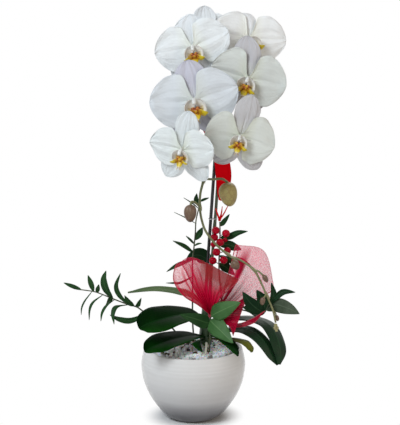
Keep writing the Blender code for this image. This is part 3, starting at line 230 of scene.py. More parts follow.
# Cut greenery: stem, and leaves as (stations, direction across, half width)
SPRIGS = {
    "sprig_left": (
        [(-12, 12, 91), (-20, 11, 112), (-36, 7, 133), (-52, 3, 143), (-66, -3, 150),
         (-78, -4, 159), (-90, -6, 163), (-109, -8, 171), (-127, -10, 179),
         (-138, -11, 183), (-157, -12, 186)],
        [([(-138, -11, 183), (-142, -9, 194), (-146, -6, 205)], (1, 0.3, 0), 3.8),
         ([(-132, -10.5, 181), (-132, -15, 188), (-130, -20, 195)], (1, 0.3, 0), 3.2),
         ([(-112, -8, 172), (-121, -8, 186), (-124, -6, 199), (-121, -4, 211)],
          (1, -0.2, 0), 5.2),
         ([(-111, -8, 172), (-116, -16, 174), (-120, -25, 168)], (0.2, 0.3, 1), 4.8),
         ([(-90, -6, 163), (-103, -5, 177), (-107, -4, 190), (-101, -2, 207)], (1, -0.2, 0), 3.6),
         ([(-82, -5, 160), (-90, -10, 168), (-95, -14, 178)], (1, 0.5, 0.2), 3.6),
         ([(-78, -4, 159), (-77, -8, 163), (-72, -12, 174)], (1, 0.3, 0), 3.6),
         ([(-141, -11, 183), (-150, -17, 171), (-154, -21, 162), (-154.5, -24, 153)],
          (1, -0.3, 0.2), 1.4),
         ([(-126, -10, 178), (-138, -17, 170), (-143, -21, 160), (-143.5, -25, 146)],
          (1, -0.3, 0.2), 2.1),
         ([(-108, -8, 171), (-120, -15, 164.5), (-126, -20, 155), (-127.5, -24, 144)],
          (1, -0.3, 0.2), 2.3),
         ([(-91, -6, 163), (-106, -15, 163), (-111, -21, 154), (-109, -26, 140)],
          (1, -0.3, -0.1), 3.6),
         ([(-64, -2, 149), (-86, -12, 142), (-102, -18, 145), (-115, -21, 152)],
          (0.2, 0.3, 1), 4.2),
         ([(-155, -12, 186), (-167, -14, 191), (-179, -14, 196)], (-0.3, 0.4, 1), 3)]),
    "sprig_upright": (
        [(2, 27, 91), (-1, 26, 130), (-1, 25, 180), (-1, 15, 219), (1, 10, 240),
         (3, 7, 262), (4, 4, 280), (8, 0, 300), (12, -3, 332)],
        [([(3, 8, 252), (9, 7, 261), (13, 4, 270)], (0.9, -0.2, -0.4), 4.5),
         ([(1.5, 9.5, 245), (-4, 6, 252), (-10, 4, 258)], (0.5, 0.5, 0.7), 1.8),
         ([(1.5, 10, 243), (6, 8, 246), (12, 7, 247)], (0, 0.5, 0.8), 1.6),
         ([(-1, 11.5, 233), (-13, 4, 244), (-28, -6, 253)], (0.5, 0.3, 0.8), 3),
         ([(9, -1, 306), (15, 0, 310), (22, 2, 312)], (0, 0.5, 0.8), 2),
         ([(8, 0, 302), (4, -2, 310), (5, -5, 319)], (0.9, 0.3, 0), 3.6),
         ([(4, 5, 276), (-8, 0, 283), (-26, -6, 293)], (0, 0.5, 0.8), 0.9),
         ([(8, 0, 298), (0, -2, 304), (-13, -5, 313)], (0, 0.5, 0.8), 1.1),
         ([(-1, 12, 221), (-16, 9, 218), (-26, 5, 214), (-37, 0, 208)], (0, 0.5, 0.8), 3.2),
         ([(-1, 13.5, 192), (-18, 10, 190), (-27, 8, 190), (-38, 4, 191)],
          (0, 0.5, 0.8), 1.8)]),
    "sprig_front": (
        [(22, -34, 91), (23, -38, 120), (23, -43, 146), (25, -46, 157)],
        [([(25, -46, 156), (31, -51, 161), (45, -59, 170), (64, -66, 180)],
          (-0.4, 0.25, 0.88), 12),
         ([(23.5, -43.5, 150), (27, -50, 147), (38, -62, 139), (54, -76, 126)],
          (0.6, 0.1, 0.8), 13),
         ([(23, -43, 146), (16, -48, 148), (2, -60, 156), (-18, -70, 164)],
          (0.3, 0.25, 0.9), 9.5)]),
    "sprig_right": (
        [(44, 16, 91), (50, 16, 120), (58, 13, 148), (72, -6, 154), (88, -30, 153),
         (97, -45, 160), (103, -50, 174)],
        [([(103, -50, 172), (109, -51, 186), (106, -52, 204)], (1, 0.2, 0), 4.5),
         ([(101, -48, 168), (112, -52, 184), (123, -55, 192), (138, -58, 192)],
          (0.2, 0.4, 0.9), 5),
         ([(100, -47, 165), (112, -56, 174), (128, -63, 171), (143, -70, 165)],
          (0.25, 0.35, 0.9), 10),
         ([(97, -45, 160), (86, -50, 168), (76, -53, 178), (67, -56, 192)],
          (0.7, 0.1, 0.7), 9),
         ([(99, -47, 164), (96, -50, 174), (92, -52, 184), (86, -53, 194)],
          (0.95, 0.1, 0.3), 8),
         ([(91, -35, 155), (84, -46, 160), (77, -52, 167), (67, -56, 171)],
          (-0.3, 0.1, 0.9), 6.5)]),
    "leaf_behind_bow": (
        [(8, 34, 91), (14, 36, 150), (22, 34, 196), (24, 33, 214)],
        [([(24, 33, 213), (16, 32, 222), (4, 30, 226), (-10, 27, 220)], (0.2, 0.4, 0.9), 11)]),
}
SPRIG_STEM_RADII = (1.3, 0.8)
LEAF_POINT = 0.25             # half width at both ends of a sprig's leaf
SHADES = {("sprig_front", 2): 2, ("sprig_right", 2): 3}   # leaves of another tone

BERRY_STEM = [(40, 14, 91), (41, 14, 150), (36, -2, 205), (36, -4, 239), (37, -3, 262),
              (36.5, -3, 279)]
BERRIES = [((31, -9, 268), 5.6), ((45, -10, 264), 5.6), ((29, -8, 258), 5.5), ((44, 0, 254), 4.4),
           ((37, -13, 252), 5.6), ((28, -2, 247), 4.3), ((32, -12, 238), 5.6), ((47, -7, 239), 5.3),
           ((27, -12, 226), 5.5), ((42, -13, 227), 5.6)]
BERRY_STEM_RADII = (1.3, 0.9)
BERRY_HANG = Vector((0, 0, 5))    # a berry's twig leaves the stem this far below it
BERRY_LEAVES = [
    ([(37, -3, 257), (49, -3, 258), (61, -6, 264), (75, -10, 267)], (0, 0.3, 0.95), 4.6),
    ([(37, -3, 272), (42, -2, 279), (50, -5, 290)], (0.8, 0.1, -0.5), 3.6),
    ([(36.5, -3.5, 246), (48, 2, 246), (58, 4, 242), (67, 5, 238)], (0, 0.3, 0.95), 6.5),
    ([(36, -4, 220), (46, 0, 214), (58, 5, 202)], (0.5, 0.2, 0.8), 7),
    ([(36, -4, 230), (50, -6, 226), (66, -2, 224), (80, 0, 217)], (0.2, 0.3, 0.9), 5),
]

# Net bow: each strip fans out from the tie. Its lines run along it, from one wired edge to
# the other; a loop's lines go up its front, over the crest and down its back
BOWS = {
    "bow_loop_left": (
        [(22.5, -42, 157), (8, -47, 170), (-13, -55, 186), (-26, -58, 207), (-24, -54, 226),
         (-18, -44, 229), (-12, -34, 219), (-4, -27, 200), (8, -29, 177), (22.5, -39.5, 157)],
        [(23.5, -42.2, 157.5), (18, -48, 176), (8, -56, 202), (2, -58, 224), (1, -52, 235.5),
         (4, -40, 234), (9, -30, 218), (15, -26, 196), (20, -30, 173), (23.5, -39, 157.5)],
        [(24.6, -42, 157.4), (29, -43, 167), (40, -46, 184), (53, -50, 197), (61, -48, 206),
         (58, -40, 206), (50, -32, 198), (40, -29, 184), (30, -33, 168), (24.6, -39.4, 157.4)]),
    "bow_loop_right": (
        [(26, -40, 157.3), (36, -26, 176), (45, -22, 200), (52, -22, 226), (58, -18, 249),
         (61, -14, 243), (55, -12, 216), (47, -13, 194), (38, -18, 173), (26, -38, 157.3)],
        [(26.3, -40, 156.7), (52, -34, 176), (72, -38, 202), (87, -36, 228), (97, -27, 241),
         (95, -16, 236), (84, -10, 216), (70, -10, 195), (50, -18, 172), (26.3, -38, 156.7)],
        [(26.5, -40, 156.1), (52, -37, 163), (78, -38, 169), (100, -36, 174), (112, -28, 186),
         (108, -18, 184), (96, -14, 177), (74, -18, 168), (50, -27, 161),
         (26.5, -38, 156.1)]),
    "bow_tail": (
        [(25, -41, 156), (34, -43, 160), (45, -46, 167), (62, -50, 178), (73, -51, 186)],
        [(25, -41, 155), (30, -43, 151), (39, -47, 147), (49, -51, 143), (54, -55, 131)]),
    "bow_tail_small": (
        [(25, -39, 155), (40, -37.6, 148.5), (60, -43.5, 144.5), (80, -53, 154), (97, -57, 166)],
        [(25, -39, 154), (40, -37, 145), (60, -43, 140), (80, -52, 147), (90, -56, 157)]),
}
NET_SPARE = 1.004             # a strip's flat width, as a share of its widest span
NET_PLEATS = 13
LOOP_SLACK = 0.35             # a loop is drawn tight at its crest: the pleats' height left there
NET_CELL = 1.1
NET_STEP = 1.8
# Each net's look: light stopped between its threads and by them, its tones, and its folds' tone
NETS = {
    "bow_loop_left": (0.2, 0.8, (0.55, 0.002, 0.05), (0.68, 0.004, 0.07), (0.55, 0.0, 0.035)),
    "bow_loop_right": (0.1, 0.6, (0.75, 0.006, 0.085), (0.88, 0.01, 0.11), (0.5, 0.0, 0.035)),
    "bow_tail": (0.98, 0.99, (0.36, 0.001, 0.028), (0.44, 0.001, 0.033), (0.34, 0.0, 0.022)),
    "bow_tail_small": (0.97, 0.985, (0.44, 0.001, 0.035), (0.52, 0.001, 0.045), (0.4, 0.0, 0.03)),
}
USUAL_GATHER = (0.4, 1.0)     # where a net thickens on its way to the tie
GATHERS = {"bow_loop_left": (0.15, 0.72)}
DARK_FOLDS = {"bow_loop_right": 0.2}    # one strong fold's place across the net
NET_COLUMNS = 156
NET_SAMPLES = 12              # places across a strip where its length is measured
WIRE_RADIUS = 0.6
FOLD_REACH = {"bow_loop_left": (0.0, 0.5), "bow_loop_right": (0.35, 0.8), "bow_tail": (0.0, 0.5),
              "bow_tail_small": (0.0, 0.5)}
FOLDED_PART = {"bow_loop_left": 0.56}    # beyond this share of its width the net lies double

KNOT_HALF_WIDTH = 3.6
RIBBON_TAIL = [(12, 13, 424, 5), (18, 12, 411, 7), (28, 11.8, 394, 8), (38, 9, 370, 10),
               (42, 4, 342, 11), (40, -1, 318, 7), (37, -3, 309, 2)]
STREAMERS = [[(36.5, -3, 282), (39, -4, 292), (40, -6, 301)],
             [(36.5, -3, 282), (42, -7, 291), (47, -10, 301), (50, -10, 307)],
             [(36.5, -3, 282), (33, -6, 292), (31, -8, 299)]]

rng = random.Random(11)


# ---------------------------------------------------------------- paths and frame places
def smooth(route, per_span):
    """Points on a Catmull-Rom curve through the route; each point may carry extra values."""
    points = [Vector(p) for p in route]
    ends = [2 * points[0] - points[1]] + points + [2 * points[-1] - points[-2]]
    result = []
    for i in range(1, len(ends) - 2):
        a, b, c, d = ends[i - 1:i + 3]
        for k in range(per_span):
            t = k / per_span
            result.append(0.5 * (2 * b + (c - a) * t + (2 * a - 5 * b + 4 * c - d) * t ** 2
                                 + (3 * b - a - 3 * c + d) * t ** 3))
    result.append(points[-1])
    return result


def ramped(start, end, count):
    return [start + (end - start) * i / (count - 1) for i in range(count)]


def angles(count, closed=False):
    """Angles round a full turn; a closed set comes back to where it began."""
    return [2 * math.pi * k / count for k in range(count + 1 if closed else count)]


def circle(radius, z, count):
    return [Vector((radius * math.cos(a), radius * math.sin(a), z)) for a in angles(count)]


def uneven(x, y, z):
    """A smooth wandering value between about -1 and 1."""
    return noise.noise(Vector((x, y, z)))


def carried(points, matrix):
    """Points in millimetres, moved by a matrix that is in metres."""
    return [(matrix @ (Vector(p) * MM)) / MM for p in points]


def placed(rows, matrix):
    return [carried(row, matrix) for row in rows]


def length_of(points):
    return sum((b - a).length for a, b in zip(points, points[1:]))


def point_at(points, share):
    """The point at this share of the way through a list of points."""
    place = share * (len(points) - 1)
    j = min(int(place), len(points) - 2)
    return points[j].lerp(points[j + 1], place - j)


def normal_at(rows, i, k):
    """Direction off a surface at one point of its rows."""
    row = rows[i]
    along = rows[min(i + 1, len(rows) - 1)][k] - rows[max(i - 1, 0)][k]
    return along.cross(row[min(k + 1, len(row) - 1)] - row[max(k - 1, 0)]).normalized()


def crossings(path, start, end):
    """For each point (x, y, z, half width) of a path: its share of the way, its centre, the
    directions across the surface and off it, and its half width.

    The direction across turns from start to end.
    """
    last = len(path) - 1
    for i, point in enumerate(path):
        along = (Vector(path[min(i + 1, last)][:3]) - Vector(path[max(i - 1, 0)][:3])).normalized()
        across = Vector(start).lerp(Vector(end), i / last)
        across = (across - along * across.dot(along)).normalized()
        yield i / last, Vector(point[:3]), across, across.cross(along), max(point[3], 0.35)


def corners_of(obj):
    return [v.co for v in obj.data.vertices]


def extent(points):
    """Low and high corner of the points' box."""
    return [Vector([pick(p[k] for p in points) for k in range(3)]) for pick in (min, max)]


def middle_of(low, high):
    return (Vector(low) + Vector(high)) / 2


def node_box(name):
    """Middle and half size of a CAD node's box, in millimetres."""
    low, high = (Vector(corner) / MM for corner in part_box(name))
    return (low + high) / 2, (high - low) / 2


def seat(objs, guide, node):
    """Move pieces, without turning them, so that the guide's box is centred on the node's."""
    shift = middle_of(*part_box(node)) - middle_of(*extent(guide))
    for obj in objs:
        obj.data.transform(Matrix.Translation(shift))


def added(name, data):
    """A new object in the scene."""
    obj = bpy.data.objects.new(name, data)
    bpy.context.scene.collection.objects.link(obj)
    return obj


# ---------------------------------------------------------------- mesh building
class Piece:
    """A mesh that grows tube by tube and sheet by sheet, in millimetres."""

    def __init__(self, name, *materials):
        self.name = name
        self.materials = materials
        self.bm = bmesh.new()
        self.uv = self.bm.loops.layers.uv.new("along")

    def skin(self, rings, slot=0, closed=True, across=None):
        """Faces between rings of points; across gives each ring point's texture place."""
        verts = [[self.bm.verts.new(p * MM) for p in points] for points in rings]
        count = len(rings[0])
        last = len(rings) - 1
        spans = count if closed else count - 1
        across = across or [k / spans for k in range(count)]
        for i in range(last):
            for k in range(spans):
                j = (k + 1) % count
                places = ((i, k), (i, j), (i + 1, j), (i + 1, k))
                face = self.bm.faces.new([verts[row][column] for row, column in places])
                face.material_index = slot
                for loop, (row, column) in zip(face.loops, places):
                    loop[self.uv].uv = (row / last, across[column])
        if closed:
            for end in (verts[0], verts[-1]):
                self.bm.faces.new(end).material_index = slot

    def slab(self, rows, thickness, slot=0):
        """A thin closed solid round an open surface, thinner at its edges."""
        columns = len(rows[0])
        rings = []
        for i, row in enumerate(rows):
            top = []
            under = []
            for k, point in enumerate(row):
                edge = 1 - abs(2 * k / (columns - 1) - 1) ** 6
                half = normal_at(rows, i, k) * (thickness / 2 * max(edge, 0.3))
                top.append(point + half)
                under.append(point - half)
            rings.append(top + under[::-1])
        places = ramped(0, 1, columns)
        self.skin(rings, slot, across=places + places[::-1])

    def tube(self, points, radii, sides=12, slot=0):
        points = [Vector(p[:3]) for p in points]
        last = len(points) - 1
        side = Vector((0.31, 0.94, 0.13))
        rings = []
        for i, point in enumerate(points):
            along = (points[min(i + 1, last)] - points[max(i - 1, 0)]).normalized()
            side = (side - along * side.dot(along)).normalized()
            other = along.cross(side)
            rings.append([point + (side * math.cos(a) + other * math.sin(a)) * radii[i]
                          for a in angles(sides)])
        self.skin(rings, slot)

    def stem(self, route, per_span, radii, sides=12, slot=0):
        """A tube along a smooth route, from the first radius to the second."""
        points = smooth(route, per_span)
        self.tube(points, ramped(*radii, len(points)), sides, slot)

    def blob(self, centre, radius, change=None, slot=0, segments=20, rings=14):
        """A ball, whose unit points the change function may reshape."""
        made = bmesh.ops.create_uvsphere(self.bm, u_segments=segments, v_segments=rings, radius=1)
        for vert in made["verts"]:
            unit = vert.co.copy()
            vert.co = (Vector(centre) + (change(unit) if change else unit * radius)) * MM
        for face in {f for v in made["verts"] for f in v.link_faces}:
            face.material_index = slot

    def finish(self, node, slot):
        """The object, which stands for this CAD node; the slot argument is not used."""
        bmesh.ops.recalc_face_normals(self.bm, faces=self.bm.faces)
        mesh = bpy.data.meshes.new(self.name)
        self.bm.to_mesh(mesh)
        self.bm.free()
        mesh.shade_smooth()
        for material in self.materials:
            mesh.materials.append(material)
        obj = added(self.name, mesh)
        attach(obj, "root")
        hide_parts(node)
        return obj

    def seated(self, node, slot):
        """Finish the piece and centre its box on the node's."""
        made = self.finish(node, slot)
        seat([made], corners_of(made), node)
        return made


# ---------------------------------------------------------------- materials
class Look:
    """A principled material whose detail is built from texture nodes."""

    def __init__(self, name, roughness, **sockets):
        self.material = bpy.data.materials.new(name)
        self.material.use_nodes = True
        self.tree = self.material.node_tree
        self.shader = self.tree.nodes["Principled BSDF"]
        self.shader.inputs["Roughness"].default_value = roughness
        for socket, value in sockets.items():
            self.shader.inputs[socket.replace("_", " ")].default_value = value

    def node(self, kind, **inputs):
        made = self.tree.nodes.new("ShaderNode" + kind)
        for name, value in inputs.items():
            self.join(value, made.inputs[name.replace("_", " ")])
        return made

    def join(self, value, socket):
        if isinstance(value, bpy.types.NodeSocket):
            self.tree.links.new(value, socket)
        else:
            socket.default_value = value

    def set(self, socket, value):
        """Give one of the shader's sockets a value or another node's output."""
        self.join(value, self.shader.inputs[socket])

    def place(self):
        return self.node("TexCoord").outputs["Object"]

    def along(self):
        """The texture places: x along the piece, y across it."""
        made = self.node("UVMap")
        made.uv_map = "along"
        split = self.node("SeparateXYZ", Vector=made.outputs["UV"])
        return split.outputs["X"], split.outputs["Y"]

    def noise(self, scale, detail=4.0, vector=None):
        made = self.node("TexNoise", Vector=vector or self.place(), Scale=scale, Detail=detail)
        return made.outputs["Fac"]

    def math(self, operation, first, second=0.0):
        made = self.tree.nodes.new("ShaderNodeMath")
        made.operation = operation
        self.join(first, made.inputs[0])
        self.join(second, made.inputs[1])
        return made.outputs["Value"]

    def times(self, first, second):
        return self.math("MULTIPLY", first, second)

    def plus(self, first, second):
        return self.math("ADD", first, second)

    def larger(self, first, second):
        return self.math("MAXIMUM", first, second)

    def off(self, value, centre):
        """How far a value lies from this centre."""
        return self.math("ABSOLUTE", self.math("SUBTRACT", value, centre))

    def ramp(self, factor, *stops):
        """Colours against the factor: stops of (position, colour)."""
        made = self.node("ValToRGB", Fac=factor)
        elements = made.color_ramp.elements
        for element, (position, colour) in zip(elements, (stops[0], stops[-1])):
            element.position, element.color = position, (*colour, 1)
        for position, colour in stops[1:-1]:
            elements.new(position).color = (*colour, 1)
        return made.outputs["Color"]

    def mottle(self, scale, detail, dark, light, high=0.7):
        """Two tones clouded together."""
        return self.ramp(self.noise(scale, detail), (0.3, dark), (high, light))

    def mix(self, factor, first, second):
        made = self.tree.nodes.new("ShaderNodeMix")
        made.data_type = "RGBA"
        self.join(factor, made.inputs["Factor"])
        for value, socket in ((first, made.inputs[6]), (second, made.inputs[7])):
            self.join(value if isinstance(value, bpy.types.NodeSocket) else (*value, 1), socket)
        return made.outputs[2]

    def finish(self, colour, height, strength, distance):
        """Give the shader its colour and its relief; returns the material."""
        self.set("Base Color", colour)
        made = self.node("Bump", Height=height, Strength=strength, Distance=distance * MM)
        self.set("Normal", made.outputs["Normal"])
        return self.material

    def stripes(self, across, count, wander=0.6):
        """Lines along the piece: this many side by side, a little uneven."""
        phase = self.plus(self.times(across, count), self.times(self.noise(60, 2), wander))
        wave = self.math("SINE", self.times(phase, 2 * math.pi))
        return self.plus(self.times(wave, 0.5), 0.5)

    def ranged(self, value, low, high, first, last, kind="SMOOTHSTEP"):
        """The value's range from low to high, made into first to last."""
        made = self.node("MapRange", Value=value)
        made.interpolation_type = kind
        for name, level in (("From Min", low), ("From Max", high), ("To Min", first),
                            ("To Max", last)):
            made.inputs[name].default_value = level
        return made.outputs["Result"]

    def midrib(self, across, width):
        """One at the middle line, falling to none at this share of the width."""
        return self.ranged(self.off(across, 0.5), 0.0, width, 1.0, 0.0)


def shaded(colour, share):
    return tuple(c * share for c in colour)


def plain_look(name, roughness, mottle, grain, **sockets):
    """Two clouded tones and a fine grain: the noise's scale and detail, strength and depth."""
    look = Look(name, roughness, **sockets)
    scale, detail, strength, distance = grain
    return look.finish(look.mottle(*mottle), look.noise(scale, detail), strength, distance)


def petal_look(name, colour, base):
    look = Look(name, 0.62, Sheen_Weight=0.1, Specular_IOR_Level=0.2)
    along, across = look.along()
    veins = look.math("POWER", look.stripes(across, 15, 0.9), 3.0)
    tone = look.ramp(along, (0.0, base), (0.3, colour), (1.0, shaded(colour, 0.97)))
    tone = look.mix(look.times(veins, 0.13), tone, shaded(colour, 0.84))
    cloud = look.ramp(look.noise(40, 3), (0.35, shaded(colour, 0.88)), (0.65, colour))
    height = look.plus(look.times(veins, 0.16), look.noise(150, 5))
    return look.finish(look.mix(0.4, tone, cloud), height, 0.5, 1.4)


def lip_yellow_look(name, end):
    """Golden lobe: brown-red and spotted at its foot, yellow beyond, and this at its end."""
    look = Look(name, 0.4)
    along = look.along()[0]
    tone = look.ramp(along, (0.0, (0.3, 0.07, 0.003)), (0.25, (0.5, 0.24, 0.004)),
                     (0.5, (0.62, 0.45, 0.008)), (0.75, (0.66, 0.52, 0.012)), (1.0, end))
    spots = look.ranged(look.noise(300, 3), 0.5, 0.58, 0.0, 1.0)
    inner = look.ranged(along, 0.3, 0.7, 0.85, 0.0)
    colour = look.mix(look.times(spots, inner), tone, (0.25, 0.045, 0.002))
    return look.finish(colour, look.noise(800, 3), 0.4, 0.3)


def lip_heart_look():
    """The knob in the middle of the lip: gold, thickly blotched with brown-red."""
    look = Look("lip_heart", 0.38)
    colour = look.ramp(look.noise(260, 3), (0.4, (0.22, 0.03, 0.002)), (0.5, (0.42, 0.11, 0.003)),
                       (0.62, (0.62, 0.38, 0.006)))
    return look.finish(colour, look.noise(700, 3), 0.4, 0.3)


def lip_side_look():
    """Side lobe: white, with a golden foot and brown-red streaks in its lower half."""
    look = Look("lip_side", 0.45, Specular_IOR_Level=0.3)
    along, across = look.along()
    depth = look.plus(look.math("SUBTRACT", along, 0.15), look.times(look.noise(260, 3), 0.3))
    tone = look.ramp(depth, (0.0, (0.4, 0.13, 0.004)), (0.25, (0.6, 0.38, 0.01)),
                     (0.4, (0.7, 0.58, 0.15)), (0.55, (0.84, 0.84, 0.76)), (1.0, (0.9, 0.91, 0.9)))
    lower = look.ranged(across, 0.25, 0.75, 0.12, 1.0)
    tone = look.mix(lower, (0.88, 0.89, 0.87), tone)
    streaks = look.times(look.stripes(across, 6, 0.8), look.ranged(along, 0.35, 0.6, 0.6, 0.0))
    colour = look.mix(look.times(streaks, lower), tone, (0.26, 0.06, 0.003))
    return look.finish(colour, look.noise(900, 2), 0.25, 0.2)


def leaf_look(name, dark, light, rib, roughness=0.3, veins=14, rib_width=0.035, near=None,
              gloss=LEAF_GLOSS):
    """Leaf with a midrib and veins; near, where given, is a tone painted towards its near edge: a
    lighter band of painted sheen on the deep orchid leaves, a darker edge on the pale greenery.
    """
    look = Look(name, roughness, Specular_IOR_Level=gloss)
    across = look.along()[1]
    tone = look.mottle(45, 5, dark, light, 0.75)
    if near:
        # Weight towards the near edge, where the painted sheen goes
        side = look.math("POWER", look.math("SUBTRACT", 1.0, across), 1.8)
        tone = look.mix(look.times(side, look.mottle(28, 3, (0.3,) * 3, (1.0,) * 3)), tone, near)
    lines = look.stripes(across, veins, 0.4)
    tone = look.mix(look.times(lines, 0.22), tone, light)
    tone = look.mix(look.times(look.midrib(across, rib_width), 0.75), tone, rib)
    look.set("Roughness", look.ranged(look.noise(120, 3), 0, 1, roughness - 0.08,
                                      roughness + 0.14, "LINEAR"))
    return look.finish(tone, look.plus(look.times(lines, 0.5), look.noise(500, 3)), 0.3, 0.3)


def stem_look(name, first, second, roughness=0.42):
    look = Look(name, roughness)
    speckle = look.math("GREATER_THAN", look.noise(1400, 2), 0.66)
    tone = look.mix(look.times(speckle, 0.35), look.mottle(90, 5, first, second),
                    shaded(first, 0.5))
    return look.finish(tone, look.noise(700, 4), 0.35, 0.3)


def spike_look():
    look = Look("spike_skin", 0.4)
    base = look.ramp(look.along()[0], (0.0, (0.03, 0.06, 0.025)), (0.45, (0.04, 0.07, 0.03)),
                     (0.62, (0.13, 0.16, 0.06)), (1.0, (0.2, 0.2, 0.08)))
    tone = look.mix(look.times(look.noise(160, 5), 0.4), base, (0.12, 0.08, 0.04))
    return look.finish(tone, look.noise(900, 3), 0.3, 0.25)


def bud_look(name, green, brown, amount):
    look = Look(name, 0.42)
    vein = look.node("TexVoronoi", Vector=look.place(), Scale=170.0)
    vein.feature = "DISTANCE_TO_EDGE"
    lines = look.ramp(vein.outputs["Distance"], (0.0, (1, 1, 1)), (0.09, (0, 0, 0)))
    tone = look.mottle(110, 5, green, shaded(green, 1.25), 0.75)
    tone = look.mix(look.times(look.noise(70, 4), amount), tone, brown)
    return look.finish(look.mix(look.times(lines, 0.5), tone, brown), look.noise(700, 3), 0.3, 0.3)


def glaze_look():
    """Pale glaze: fine turned lines, faint cloudiness, darker towards the foot where a reflection
    of dark surroundings is painted.
    """
    low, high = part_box("pot")
    look = Look("pot_glaze", 0.05, Coat_Weight=0.15, Coat_Roughness=0.03, Specular_IOR_Level=0.12)
    level = look.node("SeparateXYZ", Vector=look.place()).outputs["Z"]
    # Darker towards the foot: a painted reflection of dark surroundings
    tone = look.ramp(look.ranged(level, low[2], high[2], 0, 1, "LINEAR"), *GLAZE_WITH_PAINTED_REFLECTION)
    lines = look.noise(900, 3, look.node("CombineXYZ", Z=level).outputs["Vector"])
    tone = look.mix(look.times(lines, 0.16), tone, (0.45, 0.44, 0.44))
    tone = look.mix(look.times(look.noise(22, 4), 0.15), tone, (0.82, 0.8, 0.78))
    return look.finish(tone, look.plus(lines, look.times(look.noise(60, 3), 0.4)), 0.12, 0.3)


def marble_look():
    look = Look("marble", 0.5, Subsurface_Weight=0.5, Subsurface_Scale=0.004)
    tone = look.ramp(look.noise(180, 6), (0.3, (0.93, 0.95, 0.96)), (0.5, (0.98, 0.985, 0.99)),
                     (0.7, (1.0, 1.0, 1.0)))
    return look.finish(tone, look.noise(1500, 4), 0.4, 0.25)


def bark_look():
    return plain_look("bark", 0.85, (140, 6, (0.02, 0.014, 0.008), (0.09, 0.055, 0.03)),
                      (400, 5, 0.8, 1.0))


def plastic_look(name, colour, roughness):
    return plain_look(name, roughness, (200, 3, colour, shaded(colour, 1.3)), (1200, 2, 0.1, 0.1))


def clear_look(name, alpha, tint):
    return plain_look(name, 0.08, (120, 3, tint, (0.95, 0.96, 0.97)), (260, 4, 0.5, 0.6),
                      Coat_Weight=0.5, Alpha=alpha)


def satin_look():
    look = Look("satin", 0.5, Specular_IOR_Level=0.03)
    across = look.along()[1]
    selvedge = look.math("GREATER_THAN", look.off(across, 0.5), 0.46)
    tone = look.mottle(30, 3, (0.66, 0.0, 0.004), (0.82, 0.0, 0.007))
    tone = look.mix(look.times(selvedge, 0.5), tone, (0.38, 0.0, 0.008))
    return look.finish(tone, look.stripes(across, 70, 0.1), 0.2, 0.1)


# ---------------------------------------------------------------- pot and filling
def make_pot():
    outside = smooth([(r, z, 0) for r, z in POT_OUTSIDE], 10)
    outer = [(p.x + LINE_DEPTH * math.sin(THROWING_LINES * math.pi * i / len(outside)), p.y)
             for i, p in enumerate(outside)]
    inner = [(p.x - POT_WALL, p.y) for p in outside[12:]]
    middle = outside[-1].x - POT_WALL / 2
    rim = [(middle + POT_WALL / 2 * math.cos(a), POT_HEIGHT - RIM_RISE + RIM_RISE * math.sin(a))
           for a in [math.pi * k / 10 for k in range(1, 10)]]
    floor = [(inner[0][0] - 3, POT_FLOOR), (NEAR_AXIS, POT_FLOOR)]
    profile = [(NEAR_AXIS, 0)] + outer + rim + inner[::-1] + floor
    profile[1] = (profile[1][0] - FOOT_BEVEL, 0)
    piece = Piece("ceramic_pot", glaze_look())
    piece.skin([circle(r, z, POT_SEGMENTS) for r, z in profile])
    piece.seated("pot", "glaze")


def bed_height(x, y):
    """Top of the gravel bed, from the frame: highest in the middle, lowest at its edge."""
    middle, reach = node_box("gravel")
    share = min(1, math.hypot(x, y) / reach.x)
    return middle.z + reach.z - CHIPS_ABOVE - BED_FALL * share ** 2


def make_gravel():
    middle, reach = node_box("gravel")
    bed = Piece("gravel_bed", stem_look("grit", (0.34, 0.35, 0.35), (0.6, 0.61, 0.61), 0.7))
    rings = [circle(max(NEAR_AXIS, reach.x * share), 0, 48) for share in ramped(0, 1, 14)]
    for p in (p for points in rings for p in points):
        p.z = bed_height(p.x, p.y) - BED_DROP + uneven(p.x / 5, p.y / 5, 0.6)
    rings.append([Vector((p.x, p.y, middle.z - reach.z)) for p in rings[-1]])
    bed.skin(rings)
    bed.finish("gravel", "marble_chips")
    chips = Piece("gravel_chips", marble_look(), bark_look())
    for i in range(CHIP_COUNT):
        size = rng.uniform(*CHIP_SIZES)
        r = (reach.x - size) * math.sqrt((i + 0.5) / CHIP_COUNT)
        angle = i * GOLDEN_ANGLE + rng.uniform(-0.06, 0.06)
        centre = Vector((r * math.cos(angle), r * math.sin(angle), 0))
        centre.z = bed_height(centre.x, centre.y) - BED_DROP + size * rng.uniform(0.25, 0.6)
        stretch = [size * rng.uniform(0.7, 1.15) for _ in range(3)]
        turn = Matrix.Rotation(rng.uniform(0, 6.28), 3, Vector((rng.random(), rng.random(), 1)))
        made = bmesh.ops.create_icosphere(chips.bm, subdivisions=2, radius=1)
        cuts = [(Vector([rng.uniform(-1, 1) for _ in range(3)]).normalized(),
                 rng.uniform(0.5, 0.85)) for _ in range(CHIP_CUTS)]
        # Dark chips: bark, and away from the front right also painted shade
        in_white_part = centre.y < WHITE_PART[1] and centre.x > WHITE_PART[0]
        dark = rng.random() < BARK_AND_SHADE_SHARES[0 if in_white_part else 1]
        for face in {f for v in made["verts"] for f in v.link_faces}:
            face.material_index = int(dark)
        for vert in made["verts"]:
            unit = vert.co.copy()
            for direction, depth in cuts:
                unit -= direction * max(0, unit.dot(direction) - depth)
            unit = Vector([unit[k] * stretch[k] for k in range(3)])
            vert.co = (centre + turn @ unit) * MM
    for polygon in chips.finish("gravel", "marble_chips").data.polygons:
        polygon.use_smooth = False


